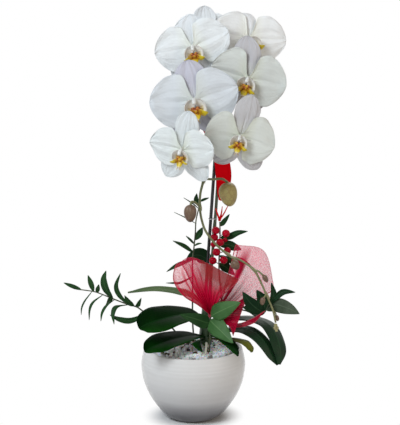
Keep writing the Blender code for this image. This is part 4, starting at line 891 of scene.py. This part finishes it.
def make_film():
    """Clear crumpled film between the filling and the pot; it stands highest on the right."""
    piece = Piece("liner", clear_look("film", 0.22, (0.86, 0.88, 0.9)))
    rings = []
    for angle in angles(FILM_STEPS):
        east, north = math.cos(angle), math.sin(angle)
        lift = 7 + 6 * max(0, math.cos(angle + 0.6)) + 1.5 * math.sin(7 * angle)
        points = []
        for level in FILM_LEVELS:
            share = (level - FILM_LEVELS[0]) / (FILM_LEVELS[-1] - FILM_LEVELS[0])
            z = level + (lift - 5) * share ** 3
            crumple = 0.9 * uneven(east * 9, north * 9, z / 7)
            radius = FILM_RADIUS + crumple * share + 0.8 * math.sin(11 * angle) * share
            points.append(Vector((radius * east, radius * north, z)))
        rings.append(points)
    rings.append([p.copy() for p in rings[0]])
    piece.skin(rings, closed=False)
    film = piece.finish("liner_film", "clear_film")
    bm = bmesh.new()
    bm.from_mesh(film.data)
    bmesh.ops.remove_doubles(bm, verts=bm.verts, dist=0.00001)
    bm.to_mesh(film.data)
    bm.free()
    seat([film], corners_of(film), "liner_film")
    low, high = extent(corners_of(film))


# ---------------------------------------------------------------- flowers
def petal_rows(length, half_width, direction, depth, bend, cup, ripple, seed, blunt=0.54,
               head=0.85):
    """Rows of a petal's surface in the flower's frame, from its narrow foot to its round end.

    A larger head value moves the widest place towards the round end.
    """
    angle = math.radians(direction)
    along = Vector((math.sin(angle), 0, math.cos(angle)))
    across = Vector((math.cos(angle), 0, -math.sin(angle)))
    rows = []
    for place in ramped(0, 1, PETAL_ROWS):
        t = 1 - (1 - place) ** 1.5
        swell = math.sin(math.pi * min(0.9995, 0.03 + 0.97 * t) ** head) ** blunt
        neck = min(1, t / PETAL_NECK)
        neck *= neck * (3 - 2 * neck)
        half = max(PETAL_CLAW * (1 - neck) + half_width * swell * neck, 0.4)
        row = []
        for s in ramped(-1, 1, PETAL_COLUMNS):
            edge_line = 1 + 0.05 * uneven(t * 5, seed * 7.3, 2 if s > 0 else 5)
            point = along * (length * t) + across * (half * s * edge_line)
            edge = max(abs(s), t) ** 5
            wave = 3 * ripple * edge * uneven(point.x / 11, seed * 5.1, point.z / 11)
            swale = 3.2 * uneven(point.x / 22, seed * 3.7, point.z / 22)
            fan = 1.5 * min(1, 2.5 * t) * uneven(s * 3.4, t * 1.1, seed * 2.3)
            fine = 0.5 * min(1, 2 * t) * uneven(s * 9, t * 2.5, seed * 4.1)
            crease = 1.7 * math.exp(-(s / 0.09) ** 2) * (1 - t) ** 0.7
            back = depth + bend * t ** 2 + cup * s ** 2 * half / half_width
            curl = 2.5 * s ** 4 * math.exp(-((t - 0.15) / 0.12) ** 2)
            point.y = back + wave + swale * t + fan + fine + crease - curl
            row.append(point)
        rows.append(row)
    return rows


def lobe_rows(stations, across, cup):
    """Rows of one of the lip's lobes along its stations, cupped from side to side."""
    return [[centre + side * half * s + normal * cup * half * s * s for s in ramped(-1, 1, 13)]
            for _, centre, side, normal, half in crossings(smooth(stations, 5), across, across)]


def cup_rows(side):
    """Rows of a side lobe: it curls round the column as half of an open cup."""
    inner, back = CUP_FOOT
    outer, front = CUP_RIM
    rows = []
    for u in ramped(0, 1, 14):
        row = []
        for share in ramped(0, 1, 19):
            turn = math.radians(CUP_ANGLES[0] + (CUP_ANGLES[1] - CUP_ANGLES[0]) * share)
            reach = u * (1 - 0.4 * abs(2 * share - 1) ** 4) * math.pi / 2
            radius = inner + (outer - inner) * math.sin(reach)
            place = back + (front - back) * (1 - math.cos(reach))
            curl = 0.5 * u * uneven(share * 5, side * 3, u * 2)
            row.append(Vector((side * radius * math.sin(turn), place + curl,
                               CUP_CENTRE + radius * math.cos(turn))))
        rows.append(row)
    return rows


def make_lip(number, place, scale, looks):
    """Column, side lobes, wings and tip, drawn for a petal of LIP_PETAL and then scaled."""
    place = place @ Matrix.Scale(scale, 4)
    lip = Piece(f"orchid_lip_{number}", looks["column"], looks["lip_side"], looks["lip_wing"],
                looks["lip_tip"], looks["lip_heart"])
    path = smooth(carried(COLUMN_ROUTE, place), 4)
    foot, swelling, end = COLUMN_RADII
    radii = [scale * (foot + swelling * math.sin(math.pi * share ** 1.4))
             for share in ramped(0, 1, len(path))[:-1]] + [end * scale]
    lip.tube(path, radii, 16)
    for side in (-1, 1):
        lip.slab(placed(cup_rows(side), place), 0.7, 1)
        wing = [(side * x, y, z, half) for x, y, z, half in LIP_WING]
        lip.slab(placed(lobe_rows(wing, (0, -0.5, 0.85), 0.25 * side), place), 0.9, 2)
        tendril = [(side * x, y, z) for x, y, z in LIP_TENDRIL]
        lip.stem(carried(tendril, place), 5, (0.4, 0.15), 6, 3)
    for middle, radius in LIP_CALLUS:
        lip.blob(carried([middle], place)[0], radius * scale, slot=4, segments=16, rings=10)
    lip.slab(placed(lobe_rows(LIP_TIP, (1, 0, 0), 0.34), place), 0.9, 3)
    return lip


def make_flower(number, looks):
    centre, yaw, pitch, roll, length, lean, dorsal, lateral, origin = FLOWERS[number - 1]
    place = Matrix.Translation(Vector(centre) * MM)
    for angle, axis in ((yaw, "Z"), (pitch, "X"), (-roll, "Y")):
        place = place @ Matrix.Rotation(math.radians(angle), 4, axis)
    sepal = SEPAL_LILAC if number in LILAC_SEPALS else SEPAL_WHITE
    # The petals' and sepals' colours carry the flower's painted light and shade
    white, white_foot, sepal, sepal_foot = (
        tuple(c * t for c, t in zip(colour, PAINTED_LIGHT_TONES[number - 1]))
        for colour in (PETAL_WHITE, PETAL_FOOT, sepal, SEPAL_FOOT))

    petals = Piece(f"orchid_petals_{number}", petal_look(f"petal_{number}", white, white_foot))
    usual, usual_width = PETAL_SPREAD
    left, right, width = SPREADS.get(number, (usual, usual, usual_width))
    guide = []
    for side, direction in ((-1, left), (1, right)):
        shape = (*PETAL_SHAPE, number * 2 + side)
        rows = petal_rows(length, length * width, side * direction, *shape)
        petals.slab(placed(rows, place), PETAL_THICKNESS)
        rows = petal_rows(length, length * usual_width, side * usual, *shape)
        guide += [point * MM for row in placed(rows, place) for point in row]
    sepals = Piece(f"orchid_sepals_{number}", petal_look(f"sepal_{number}", sepal, sepal_foot))
    for direction, reach in (DORSALS.get(number, (lean, dorsal)), (LATERAL_DIRECTION, lateral),
                             (-LATERAL_DIRECTION, lateral)):
        rows = petal_rows(reach, length * SEPAL_WIDTH, direction, *SEPAL_SHAPE,
                          number * 3 + direction / 50, blunt=0.52, head=1.3)
        sepals.slab(placed(rows, place), PETAL_THICKNESS)
    stalk = Piece(f"orchid_stalk_{number}", looks["stalk"])
    stalk.stem([origin, *carried(STALK_END, place)], 8, STALK_RADII, 10)
    turned = place @ Matrix.Rotation(math.radians(LIP_TURNS.get(number, 0)), 4, "Y")
    lip = make_lip(number, turned, length / LIP_PETAL, looks)

    made = [petals.finish(f"flower_{number}_petals", "petal_white"),
            sepals.finish(f"flower_{number}_sepals", "sepal_white"),
            lip.finish(f"flower_{number}_lip", "lip")]
    seat(made, guide, f"flower_{number}_petals")
    stalk.finish(f"flower_{number}_sepals", "spike_green")


def make_flowers():
    looks = {"column": plain_look("column_white", 0.35,
                                  (250, 3, (0.7, 0.7, 0.66), (0.8, 0.8, 0.78)),
                                  (1000, 2, 0.15, 0.15)),
             "lip_side": lip_side_look(), "lip_heart": lip_heart_look(),
             "lip_wing": lip_yellow_look("lip_wing", (0.56, 0.42, 0.01)),
             "lip_tip": lip_yellow_look("lip_tip", (0.8, 0.79, 0.72)),
             "stalk": stem_look("stalk", (0.3, 0.36, 0.2), (0.5, 0.54, 0.36))}
    for number in range(1, len(FLOWERS) + 1):
        make_flower(number, looks)


# ---------------------------------------------------------------- spike, buds and supports
def make_spike():
    points = smooth(SPIKE_ROUTE, 8)
    last = len(points) - 1
    radii = [radius + sum(JOINT_SWELL * math.exp(-((i / last - joint) / JOINT_SPAN) ** 2)
                          for joint in SPIKE_JOINTS)
             for i, radius in enumerate(ramped(*SPIKE_RADII, len(points)))]
    spike = Piece("spike_stem", spike_look(),
                  stem_look("bract", (0.3, 0.28, 0.17), (0.42, 0.38, 0.24)))
    spike.tube(points, radii, 14)
    for joint in SPIKE_JOINTS:
        i = int(joint * last)
        along = (points[i + 1] - points[i]).normalized()
        side = along.cross(Vector((0.3, 1, 0.2))).normalized()
        foot = points[i] + side * radii[i] * 0.6
        spike.stem([foot, foot + along * 3 + side * 0.9, foot + along * 7 + side * 1.1], 4,
                   (1.3, 0.3), 8, 1)
    spike.seated("flower_spike", "spike_green")


def make_buds():
    large = bud_look("bud_olive", (0.33, 0.28, 0.085), (0.2, 0.1, 0.04), 0.5)
    small = bud_look("bud_brown", (0.15, 0.1, 0.05), (0.11, 0.045, 0.035), 0.8)
    green = stem_look("bud_stalk", (0.12, 0.14, 0.05), (0.2, 0.2, 0.08))
    for number, (centre, half_width, half_height, lean, route) in enumerate(BUDS, start=1):
        turn = Matrix.Rotation(math.radians(-lean), 3, "Y")

        def shape(unit):
            angle = math.atan2(unit.y, unit.x)
            seam = 1 - 0.16 * abs(math.cos(1.5 * angle)) ** 9 * (1 - abs(unit.z) ** 3)
            reach = half_width * (1 + 0.12 * unit.z) * seam
            return turn @ Vector((unit.x * reach, unit.y * reach,
                                  unit.z * half_height * (1 - 0.06 * unit.z)))

        bud = Piece(f"orchid_bud_{number}", large if half_width > LARGE_BUD else small, green)
        bud.blob(centre, 1, shape, segments=48, rings=30)
        radius = min(1.5, half_width * 0.3)
        bud.stem(route, 6, (radius, radius * 1.15), 10, 1)
        bud.seated(f"bud_{number}", "bud_green")
    cluster = Piece("orchid_tip_buds", bud_look("bud_tip", (0.3, 0.3, 0.12), (0.2, 0.1, 0.06), 0.4))
    for centre, radius in TIP_BUDS:
        cluster.blob(centre, 1, lambda unit: Vector((unit.x, unit.y, unit.z * 1.1)) * radius)
    cluster.seated("tip_buds", "bud_green")


def make_stake():
    middle, reach = node_box("stake")
    radius = reach.y
    lean = Vector((reach.x - radius, 0, reach.z))
    foot, top = middle - lean, middle + lean
    points = [foot.lerp(top, share) for share in ramped(0, 1, 60)]
    cap = [top.lerp(foot, -0.001 * k) for k in (0, 1, 2)]
    stake = Piece("support_stake", plastic_look("stake_gloss", (0.012, 0.012, 0.013), 0.22))
    stake.tube(points[:-1] + cap, [radius] * 60 + [radius * 0.8, radius * 0.3], 20)
    stake.finish("stake", "stake_black")


def make_clip():
    middle, reach = node_box("stake_clip")
    clip = Piece("support_clip", clear_look("clip_clear", 0.5, (0.8, 0.82, 0.84)))
    for level in (-0.45, 0.45):
        points = [middle + Vector((math.cos(a) * (reach.x - CLIP_WIRE),
                                   math.sin(a) * (reach.y - CLIP_WIRE), level))
                  for a in angles(40, closed=True)]
        clip.tube(points, [CLIP_WIRE] * len(points), 8)
    clip.finish("stake_clip", "clear_clip")


# ---------------------------------------------------------------- leaves and greenery
def blade_rows(stations, start, end, fold, wave, seed, per_span=9, columns=17):
    """Rows of a leaf's surface along its stations, with a channel at the midrib."""
    rows = []
    for share, centre, across, normal, half in crossings(smooth(stations, per_span), start, end):
        row = []
        for s in ramped(-1, 1, columns):
            lift = fold * half * abs(s) ** 0.8 + wave * abs(s) ** 3 * uneven(share * 6, seed, s * 2)
            row.append(centre + across * half * s + normal * lift)
        rows.append(row)
    return rows


def make_orchid_leaves():
    # The deep leaves' near-edge tone is a painted sheen, lighter than the leaf
    deep = leaf_look("orchid_leaf", (0.0004, 0.006, 0.001), (0.0014, 0.017, 0.002),
                     (0.006, 0.04, 0.008), near=(0.008, 0.065, 0.005), gloss=0.02)
    arching = leaf_look("orchid_leaf_arching", (0.001, 0.011, 0.002), (0.005, 0.032, 0.008),
                        (0.015, 0.06, 0.02), gloss=0.16)
    pale = leaf_look("orchid_leaf_pale", (0.08, 0.13, 0.055), (0.14, 0.2, 0.09), (0.26, 0.34, 0.2))
    yellow = leaf_look("orchid_leaf_yellow", (0.03, 0.06, 0.01), (0.17, 0.17, 0.02),
                       (0.26, 0.24, 0.05))
    special = {"leaf_left_back": pale, "leaf_yellow": yellow, "leaf_right_arch": arching,
               "leaf_right_outer": arching}
    for seed, (name, (stations, start, end)) in enumerate(ORCHID_LEAVES.items()):
        leaf = Piece("orchid_" + name, special.get(name, deep))
        leaf.slab(blade_rows(stations, start, end, 0.16, 1.2, seed), 1.5)
        leaf.seated(name, "leaf_yellow" if name == "leaf_yellow" else "leaf_green")
    root = Piece("orchid_aerial_root", stem_look("root", (0.34, 0.34, 0.26), (0.6, 0.58, 0.5), 0.6))
    root.stem(AERIAL_ROOT, 8, (1.8, 1.5))
    root.seated("aerial_root", "root_pale")


def make_crown():
    """The short stem: overlapping leaf bases round the core."""
    crown = Piece("orchid_crown", stem_look("crown_skin", (0.01, 0.035, 0.01), (0.03, 0.075, 0.02)))
    rings = []
    for point in smooth([(r, z, 0) for r, z in CROWN_PROFILE], 5):
        points = []
        for a in angles(36):
            r = max(point.x, 0.05) * (1 - 0.07 * abs(math.sin(a * 2 + point.y / 9)))
            points.append(Vector((CROWN_AXIS + r * math.cos(a), r * math.sin(a), point.y)))
        rings.append(points)
    crown.skin(rings)
    crown.finish("crown", "crown_green")


def pointed(route, across, half_width, seed):
    """Rows of a pointed leaf of a sprig, widest a little before its middle."""
    points = smooth(route, 9)
    last = len(points) - 1
    stations = []
    for i, point in enumerate(points):
        swell = math.sin(math.pi * (i / last) ** 0.85) ** 0.85 if 0 < i < last else 0
        stations.append((*point, LEAF_POINT + (half_width - LEAF_POINT) * swell))
    return blade_rows(stations, across, across, 0.2, half_width * 0.12, seed, 1, 11)


def on_stem(stem, place):
    """The point of a stem's axis that is nearest to a place."""
    return min(smooth(stem, 8), key=lambda p: (p - Vector(place)).length)


def sprig_leaf(piece, stem, leaf, seed, slot):
    """A pointed leaf whose foot is moved on to the axis of the stem that carries it."""
    route, across, half_width = leaf
    route = [on_stem(stem, route[0]), *route[1:]]
    piece.slab(pointed(route, across, half_width, seed), 0.6, slot)


def make_sprigs():
    fresh = leaf_look("greenery", (0.01, 0.036, 0.012), (0.026, 0.078, 0.024), (0.06, 0.14, 0.05),
                      0.35, 9, 0.06)
    pale = leaf_look("greenery_pale", (0.03, 0.095, 0.025), (0.075, 0.18, 0.06), (0.15, 0.28, 0.11),
                     0.36, 9, 0.03, near=(0.03, 0.1, 0.02), gloss=0.15)
    grey = leaf_look("greenery_grey", (0.035, 0.055, 0.03), (0.085, 0.11, 0.075), (0.12, 0.16, 0.1),
                     0.4, 11, 0.03)
    dark = leaf_look("greenery_dark", (0.004, 0.02, 0.007), (0.014, 0.042, 0.016),
                     (0.04, 0.08, 0.04), 0.35, 9, 0.05)
    twig = stem_look("twig", (0.03, 0.045, 0.02), (0.07, 0.08, 0.035))
    greens = {"sprig_front": pale, "sprig_right": dark, "leaf_behind_bow": dark}
    for name, (stem, leaves) in SPRIGS.items():
        sprig = Piece("greens_" + name, greens.get(name, fresh), twig, fresh, grey)
        sprig.stem(stem, 6, SPRIG_STEM_RADII, 8, 1)
        for seed, leaf in enumerate(leaves):
            sprig_leaf(sprig, stem, leaf, seed, SHADES.get((name, seed), 0))
        sprig.seated(name, "front_leaf_green" if name == "sprig_front" else "sprig_green")


def make_berries():
    green = leaf_look("berry_leaf", (0.006, 0.03, 0.01), (0.02, 0.065, 0.02), (0.05, 0.12, 0.04),
                      0.35, 9, 0.05)
    twig = stem_look("berry_twig", (0.06, 0.05, 0.03), (0.12, 0.1, 0.05))
    skin = plain_look("berry_skin", 0.2, (160, 3, (0.36, 0.0, 0.012), (0.48, 0.001, 0.02)),
                      (600, 3, 0.08, 0.2), Specular_IOR_Level=0.08)
    branch = Piece("berry_spray", skin, green, twig)
    branch.stem(BERRY_STEM, 6, BERRY_STEM_RADII, 8, 2)
    for centre, radius in BERRIES:
        centre = Vector(centre)
        branch.tube([on_stem(BERRY_STEM, centre - BERRY_HANG), centre], [0.6, 0.6], 6, 2)

        def shape(unit):
            dimple = 1 - 0.12 * math.exp(-((1 + unit.y) / 0.05) ** 2)
            return Vector((unit.x, unit.y, unit.z * 0.95)) * radius * dimple

        branch.blob(centre, radius, shape, segments=28, rings=18)
        branch.blob(centre + Vector((0, -radius * 0.95, 0)), 0.5, slot=2, segments=8, rings=6)
    for seed, leaf in enumerate(BERRY_LEAVES):
        sprig_leaf(branch, BERRY_STEM, leaf, seed, 1)
    branch.seated("berry_branch", "berry_red")


# ---------------------------------------------------------------- ribbon and bow
def make_ribbon():
    satin = satin_look()
    tail = Piece("satin_tail", satin)
    tail.slab(blade_rows(RIBBON_TAIL, (1, 0, 0), (1, 0.15, 0.2), 0.05, 1.6, 3, 10, 17), 0.5)
    made = tail.seated("ribbon_tail", "satin_red")

    middle, reach = node_box("ribbon_knot")
    knot = Piece("satin_knot", satin)
    for turn in range(3):
        tilt = Matrix.Rotation(0.5 * (turn - 1), 3, Vector((0.2, 1, 0)))
        swell = 0.86 + 0.05 * turn
        knot.slab([[middle + tilt @ Vector((reach.x * swell * math.cos(a),
                                            reach.y * swell * math.sin(a),
                                            h * KNOT_HALF_WIDTH + 0.5 * math.sin(3 * a)))
                    for h in ramped(-1, 1, 7)] for a in angles(40, closed=True)], 0.6)
    knot.finish("ribbon_knot", "satin_red")

    streamers = Piece("satin_streamers", satin)
    for seed, route in enumerate(STREAMERS):
        stations = [(*p, 1.5 - 0.3 * i) for i, p in enumerate(route)]
        rows = blade_rows(stations, (1, 0.2, 0), (0.5, 0.8, 0.1), 0.1, 0.3, seed, 8, 7)
        streamers.slab(rows, 0.5)
    streamers.blob(STREAMERS[0][0], 2.1, segments=16, rings=12)
    streamers.seated("red_streamers", "satin_red")


def net_rows(lines, slack):
    """Points over a strip of net: width that its lines don't span is taken up in pleats."""
    routes = [smooth(line, 12) for line in lines]
    count = int(sum(length_of(route) for route in routes) / len(routes) / NET_STEP)
    base = []
    for i in range(count + 1):
        across = smooth([point_at(route, i / count) for route in routes], 12)
        base.append([point_at(across, k / NET_COLUMNS) for k in range(NET_COLUMNS + 1)])
    width = NET_SPARE * max(length_of(row) for row in base)
    rows = []
    for i, row in enumerate(base):
        height = math.sqrt(width ** 2 - length_of(row) ** 2) / (4 * NET_PLEATS)
        height *= slack + (1 - slack) * abs(2 * i / count - 1) ** 1.5
        pleated = []
        for k, point in enumerate(row):
            t = k / NET_COLUMNS
            phase = NET_PLEATS * t + 0.5 * uneven(i / 60, t * 3, 0)
            fold = math.asin(math.sin(2 * math.pi * phase) * 0.98) * 2 / math.pi
            pleated.append(point + normal_at(base, i, k) * height * fold)
        rows.append(pleated)
    runs = [length_of([row[k] for row in base])
            for k in range(0, NET_COLUMNS + 1, NET_COLUMNS // NET_SAMPLES)]
    return rows, sum(runs) / len(runs), width


def net_look(name, run, width):
    """Fine open net: threads round small cells, denser in the folds that run to the tie."""
    between, threads, low, high, deep = NETS[name]
    look = Look("net_" + name, 0.55, Specular_IOR_Level=0.1)
    along, across = look.along()
    spot = look.node("CombineXYZ", X=look.times(along, run / NET_CELL),
                     Y=look.times(across, width / NET_CELL))
    cells = look.node("TexVoronoi", Vector=spot.outputs["Vector"], Scale=1.0)
    cells.feature = "DISTANCE_TO_EDGE"
    thread = look.ranged(cells.outputs["Distance"], 0.05, 0.16, threads, between)
    ends = look.off(look.times(along, 2.0), 1.0)
    streak = look.math("POWER", look.stripes(across, 4.5, 0.35), 1.8)
    thin = look.math("POWER", look.stripes(across, 15, 0.5), 4.0)
    fold = look.times(look.larger(streak, look.times(thin, 0.6)),
                      look.ranged(ends, *FOLD_REACH[name], 0.0, 0.97))
    gather = look.larger(look.ranged(ends, *GATHERS.get(name, USUAL_GATHER), 0.0, 0.97),
                         look.ranged(ends, 0.0, 0.02, 0.8, 0.0))
    if name in DARK_FOLDS:
        off = look.off(across, DARK_FOLDS[name])
        fold = look.larger(fold, look.times(look.ranged(off, 0.03, 0.13, 0.97, 0.0),
                                            look.ranged(ends, 0.0, 0.4, 0.0, 1.0)))
    dense = look.larger(fold, gather)
    cover = look.larger(thread, dense)
    tone = look.mix(dense, look.mottle(50, 3, low, high), deep)
    if name in FOLDED_PART:
        start = FOLDED_PART[name]
        crest = look.times(look.ranged(across, start, start + 0.05, 0.0, 1.0),
                           look.ranged(ends, 0.35, 0.6, 1.0, 0.0))
        cover = look.larger(cover, look.times(crest, 0.74))
        tone = look.mix(crest, tone, (0.34, 0.02, 0.025))
    look.set("Alpha", cover)
    return look.finish(tone, cells.outputs["Distance"], 0.3, 0.2)


def make_bow():
    wire = plain_look("net_wire", 0.5, (50, 3, (0.34, 0.0, 0.018), (0.46, 0.004, 0.03)),
                      (1800, 2, 0.3, 0.1), Sheen_Weight=0.2)
    for name, lines in BOWS.items():
        rows, run, width = net_rows(lines, 1 if "tail" in name else LOOP_SLACK)
        cloth = Piece("net_" + name, net_look(name, run, width))
        cloth.skin(rows, closed=False)
        cloth_object = cloth.finish(name, "net_red")
        wires = Piece("wire_" + name, wire)
        for k in (0, -1):
            wires.tube([row[k] for row in rows], [WIRE_RADIUS] * len(rows), 6)
        wire_object = wires.finish(name, "net_red")
        seat([cloth_object, wire_object], corners_of(cloth_object), name)
    middle, reach = node_box("bow_tie")
    radius = reach.z
    tie = Piece("net_tie", wire)
    for turn in range(-2, 3):
        tilt = Matrix.Rotation(0.25 * turn, 3, "Y")
        points = [middle + tilt @ Vector((radius * 0.8 * math.cos(a), radius * 0.8 * math.sin(a),
                                          1.2 * turn)) for a in angles(30, closed=True)]
        tie.tube(points, [0.75] * len(points), 8)
    tie.blob(middle, radius * 0.85)
    tie.finish("bow_tie", "net_red")


# ---------------------------------------------------------------- carried-over CAD nodes
def dress_cad():
    looks = {"nursery_pot": plastic_look("nursery_plastic", (0.02, 0.02, 0.02), 0.5),
             "bark_mix": bark_look()}
    for name, material in looks.items():
        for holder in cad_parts[name].material_slots:
            holder.material = material


# ---------------------------------------------------------------- stage
def seen_rays(tree):
    """1 for rays that come from the camera, also through clear pieces or off shiny ones."""
    rays = tree.nodes.new("ShaderNodeLightPath")
    total = rays.outputs["Is Camera Ray"]
    for kind in ("Is Glossy Ray", "Is Transmission Ray"):
        most = tree.nodes.new("ShaderNodeMath")
        most.operation = "MAXIMUM"
        tree.links.new(total, most.inputs[0])
        tree.links.new(rays.outputs[kind], most.inputs[1])
        total = most.outputs["Value"]
    return total


def blend(tree, factor, first, second, output):
    """Send two shaders, mixed by the factor, to the output node."""
    mix = tree.nodes.new("ShaderNodeMixShader")
    for socket, place in zip((factor, first.outputs[0], second.outputs[0]), mix.inputs):
        tree.links.new(socket, place)
    tree.links.new(mix.outputs[0], tree.nodes[output].inputs["Surface"])


def make_floor():
    """White floor that takes shadows near the pot and is plain white further off."""
    mesh = bpy.data.meshes.new("floor")
    bm = bmesh.new()
    bmesh.ops.create_grid(bm, x_segments=1, y_segments=1, size=6)
    bm.to_mesh(mesh)
    bm.free()
    look = Look("floor_white", 0.9, Specular_IOR_Level=0.0)
    look.set("Base Color", look.mottle(3, 2, (0.9, 0.9, 0.9), (0.93, 0.93, 0.93)))
    far = look.tree.nodes.new("ShaderNodeVectorMath")
    far.operation = "LENGTH"
    look.join(look.place(), far.inputs[0])
    fade = look.ranged(far.outputs["Value"], *FLOOR_FADE, 0.0, 1.0)
    blend(look.tree, look.times(fade, seen_rays(look.tree)), look.shader,
          look.node("Emission", Strength=1.0), "Material Output")
    mesh.materials.append(look.material)
    floor = added("floor", mesh)
    floor.location.z = FLOOR_LEVEL


def make_world():
    """Dim white light, which the camera sees as full white."""
    world = bpy.data.worlds.new("studio")
    bpy.context.scene.world = world
    world.use_nodes = True
    tree = world.node_tree
    light = tree.nodes["Background"]
    seen = tree.nodes.new("ShaderNodeBackground")
    for shader, strength in ((light, WORLD_LIGHT), (seen, 1.0)):
        shader.inputs["Color"].default_value = (1, 1, 1, 1)
        shader.inputs["Strength"].default_value = strength
    blend(tree, seen_rays(tree), light, seen, "World Output")


def make_stage():
    make_floor()
    make_world()
    for name, place, size, power, tint in LAMPS:
        data = bpy.data.lights.new(name, "AREA")
        data.size = size
        data.energy = power
        data.color = tint
        lamp = added(name, data)
        lamp.location = place
        lamp.rotation_euler = (LAMP_AIM - Vector(place)).to_track_quat("-Z", "Y").to_euler()

    camera = added("camera", bpy.data.cameras.new("camera"))
    camera.location = CAMERA_PLACE
    camera.rotation_euler = (math.radians(CAMERA_PITCH), 0, 0)
    camera.data.lens = CAMERA_LENS
    bpy.context.scene.camera = camera
    bpy.context.scene.view_settings.view_transform = "Standard"


make_stage()
make_pot()
make_gravel()
make_film()
make_crown()
make_orchid_leaves()
make_flowers()
make_spike()
make_buds()
make_stake()
make_clip()
make_sprigs()
make_berries()
make_ribbon()
make_bow()
dress_cad()
